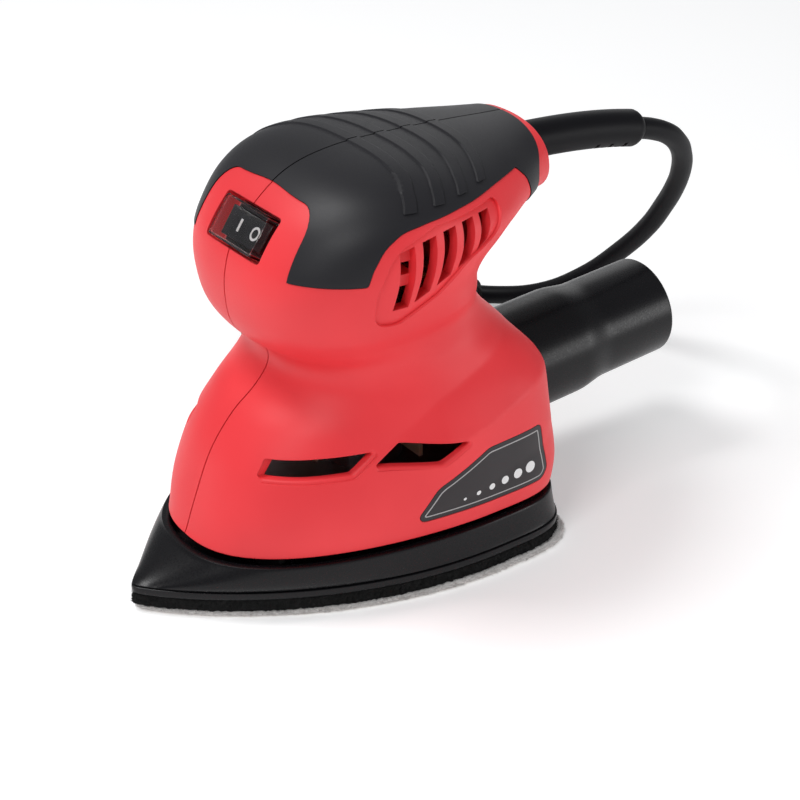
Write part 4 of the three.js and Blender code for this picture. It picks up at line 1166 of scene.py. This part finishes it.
def fibres(name, levels, count, length, thick, seed):
    """Short loose fibres that stand out of an edge; levels are rings to grow them from."""
    rng = random.Random(seed)
    points, faces = [], []
    for _ in range(count):
        low, high = rng.choice(levels)
        i = rng.randrange(len(low))
        root = Vector(low[i] + (high[i] - low[i]) * rng.random())
        out = Vector(root - Vector(low.mean(axis=0)))
        out.z = 0
        out.normalize()
        across = Vector((-out.y, out.x, 0))
        lean = (out + across * rng.uniform(-1.3, 1.3) + Vector((0, 0, rng.uniform(-0.7, 0.5)))).normalized()
        reach = length * rng.uniform(0.35, 1)
        middle = root + lean * reach * 0.55 + Vector((0, 0, rng.uniform(-0.15, 0.15)))
        end = middle + (lean + across * rng.uniform(-0.7, 0.7)).normalized() * reach * 0.45
        base = len(points)
        side = lean.cross(Vector((0, 0, 1))).normalized()
        for place, width in ((root - lean * 0.15, thick), (middle, 0.75 * thick)):
            lift = Vector((0, 0, width))
            half = side * width * 0.5
            points += [place + side * width, place - half + lift, place - half - lift]
        points.append(end)
        faces += [(base + k, base + (k + 1) % 3, base + 3 + (k + 1) % 3, base + 3 + k) for k in range(3)]
        faces += [(base + 3 + k, base + 3 + (k + 1) % 3, base + 6) for k in range(3)]
        faces.append((base + 2, base + 1, base))
    return new_piece(name, [tuple(p) for p in points], faces, 180)


def make_pad_and_sheet():
    heights = [SHEET_TOP + rise for rise in (0.05, 0.5, 1.3, 2.2)] + [PAD_TOP - 1, PAD_TOP - 0.3, PAD_TOP]
    insets = [0.9, 0.35, 0.2, 0.25, 0.2, 0.4, 1.0]
    rings = [shoe_ring(0, z, inset, 1440) for z, inset in zip(heights, insets)]
    rings = [frayed(ring, 0.75, 3 * i) for i, ring in enumerate(rings)]
    pad = loft("hook_layer", rings, smooth=180)
    hooks = fibres("hook_fibres", list(zip(rings[1:5], rings[2:6])), 8000, 1.1, 0.055, 11)
    dress(pad, HOOKS, "shoe", "hook_pad")
    dress(hooks, HOOKS, "shoe")

    shift = np.array((1.6, -0.9, 0))
    heights = [0.0, 0.03, 0.5, 1.1, 1.6, SHEET_TOP]
    insets = [1.0, 0.3, -0.1, -0.4, -0.3, 0.3]
    rings = [shoe_ring(0, z, inset, 1440) + shift for z, inset in zip(heights, insets)]
    rings = [rings[0], rings[1], *[frayed(ring, 0.9, 5 * i + 2) for i, ring in enumerate(rings[2:])]]
    sheet = loft("sheet_backing", rings, smooth=180)
    dress(sheet, FLEECE, "shoe", "sanding_sheet")
    sheet.data.materials.append(GRIT)
    for polygon in sheet.data.polygons:
        if polygon.normal.z < -0.9:
            polygon.material_index = 1
    loose = fibres("sheet_fibres", list(zip(rings[2:5], rings[3:6])), 7000, 1.2, 0.055, 5)
    dress(loose, FLEECE, "shoe")


# ---- dust adapter ----
def make_dust_adapter():
    length = (TUBE["end"] - TUBE["start"]) / math.cos(math.radians(TUBE["slope"]))
    outside, inside = [], []
    for distance in np.linspace(0, length - 1.2, 60):
        shoulder = float(smooth_step(TUBE["shoulder"], TUBE["shoulder"] + 13, distance))
        radius = TUBE["root"] + (TUBE["radius"] - TUBE["root"]) * shoulder
        outside.append((radius, distance))
        inside.append((radius - TUBE["wall"], distance))
    half = TUBE["wall"] / 2
    middle = TUBE["radius"] - half
    lip = [(middle + half * math.cos(a), length - 1 + math.sin(a)) for a in np.linspace(0, math.pi, 9)]
    tube = on_port("dust_tube", outside + lip + inside[::-1])
    dress(tube, SATIN, "adapter", "dust_adapter")


# ---- CAD pieces that keep their shape ----
def dress_inner_parts():
    looks = {
        STEEL: ["motor_shaft", "bearing_upper", "bearing_lower", "bearing_eccentric", "brush_spring_left",
                "brush_spring_right"],
        DARK_STEEL: [f"leg_screw_{i}" for i in range(1, 5)] + ["clamp_screw_1", "clamp_screw_2"],
        STACK: ["stator_core", "armature_core"],
        COPPER: ["field_coil_front", "field_coil_rear", "armature_winding_lower", "armature_winding_upper"],
        BARS: ["commutator"],
        NYLON: ["cooling_fan"],
        ALLOY: ["eccentric_weight", "bearing_bracket"],
        RUBBER: ["bearing_bush", "cord_lead_in"] + [f"flexible_leg_{i}" for i in range(1, 5)],
        BLACK: ["cord_clamp"],
        BRASS: ["brush_holder_left", "brush_holder_right"],
        CARBON: ["brush_left", "brush_right"],
    }
    for material, names in looks.items():
        for name in names:
            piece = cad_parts[name]
            piece.data.materials.clear()
            piece.data.materials.append(material)


# ---- studio ----
def make_studio():
    floor = bpy.data.meshes.new("floor")
    far, drop = 6.0, 0.0002  # metres
    floor.from_pydata([(-far, -far, 0), (far, -far, 0), (far, far, 0), (-far, far, 0)], [], [(0, 1, 2, 3)])
    ground = in_scene("floor", floor)
    ground.location.z = -drop
    nodes = Nodes("pale floor")
    nodes.set(
        Base_Color=nodes.tint(nodes.noise(400, 2), (0.88, 0.88, 0.88), (0.9, 0.9, 0.9)),
        Roughness=0.9,
        Specular_IOR_Level=0.1,
        Emission_Color=(1, 1, 1, 1),
        Emission_Strength=0.3,
    )
    floor.materials.append(nodes.material)

    world = bpy.data.worlds.new("studio")
    world.use_nodes = True
    sky = world.node_tree.nodes["Background"]
    sky.inputs["Color"].default_value = (0.95, 0.97, 1, 1)
    sky.inputs["Strength"].default_value = 0.3
    bpy.context.scene.world = world
    lights = [
        ("key", (-0.85, -0.4, 1.05), 0.45, 5.6),
        ("fill", (0.95, -1.05, 0.25), 0.5, 4.6),
        ("top", (-0.42, 0.42, 1.2), 0.4, 8.0),
        ("back", (1.0, 0.9, 0.5), 0.7, 1.3),
    ]
    for name, place, size, power in lights:
        data = bpy.data.lights.new(name, "AREA")
        data.shape = "SQUARE"
        data.size = size
        data.energy = power
        lamp = in_scene(name, data)
        lamp.location = place
        lamp.rotation_euler = (Vector(place) - Vector((0, 0, 0.06))).to_track_quat("Z", "Y").to_euler()
    bpy.context.scene.view_settings.view_transform = "Standard"


# ---- the whole ----
make_camera()
lead = make_cord()
plug_pieces = make_plug()
strap = make_coil_tie()
make_strain_relief()
make_housing()
make_grips()
make_labels()
make_housing_screws()
make_switch()
make_shoe()
make_pad_and_sheet()
make_dust_adapter()
dress_inner_parts()
bpy.data.objects.remove(OUTER)
make_studio()
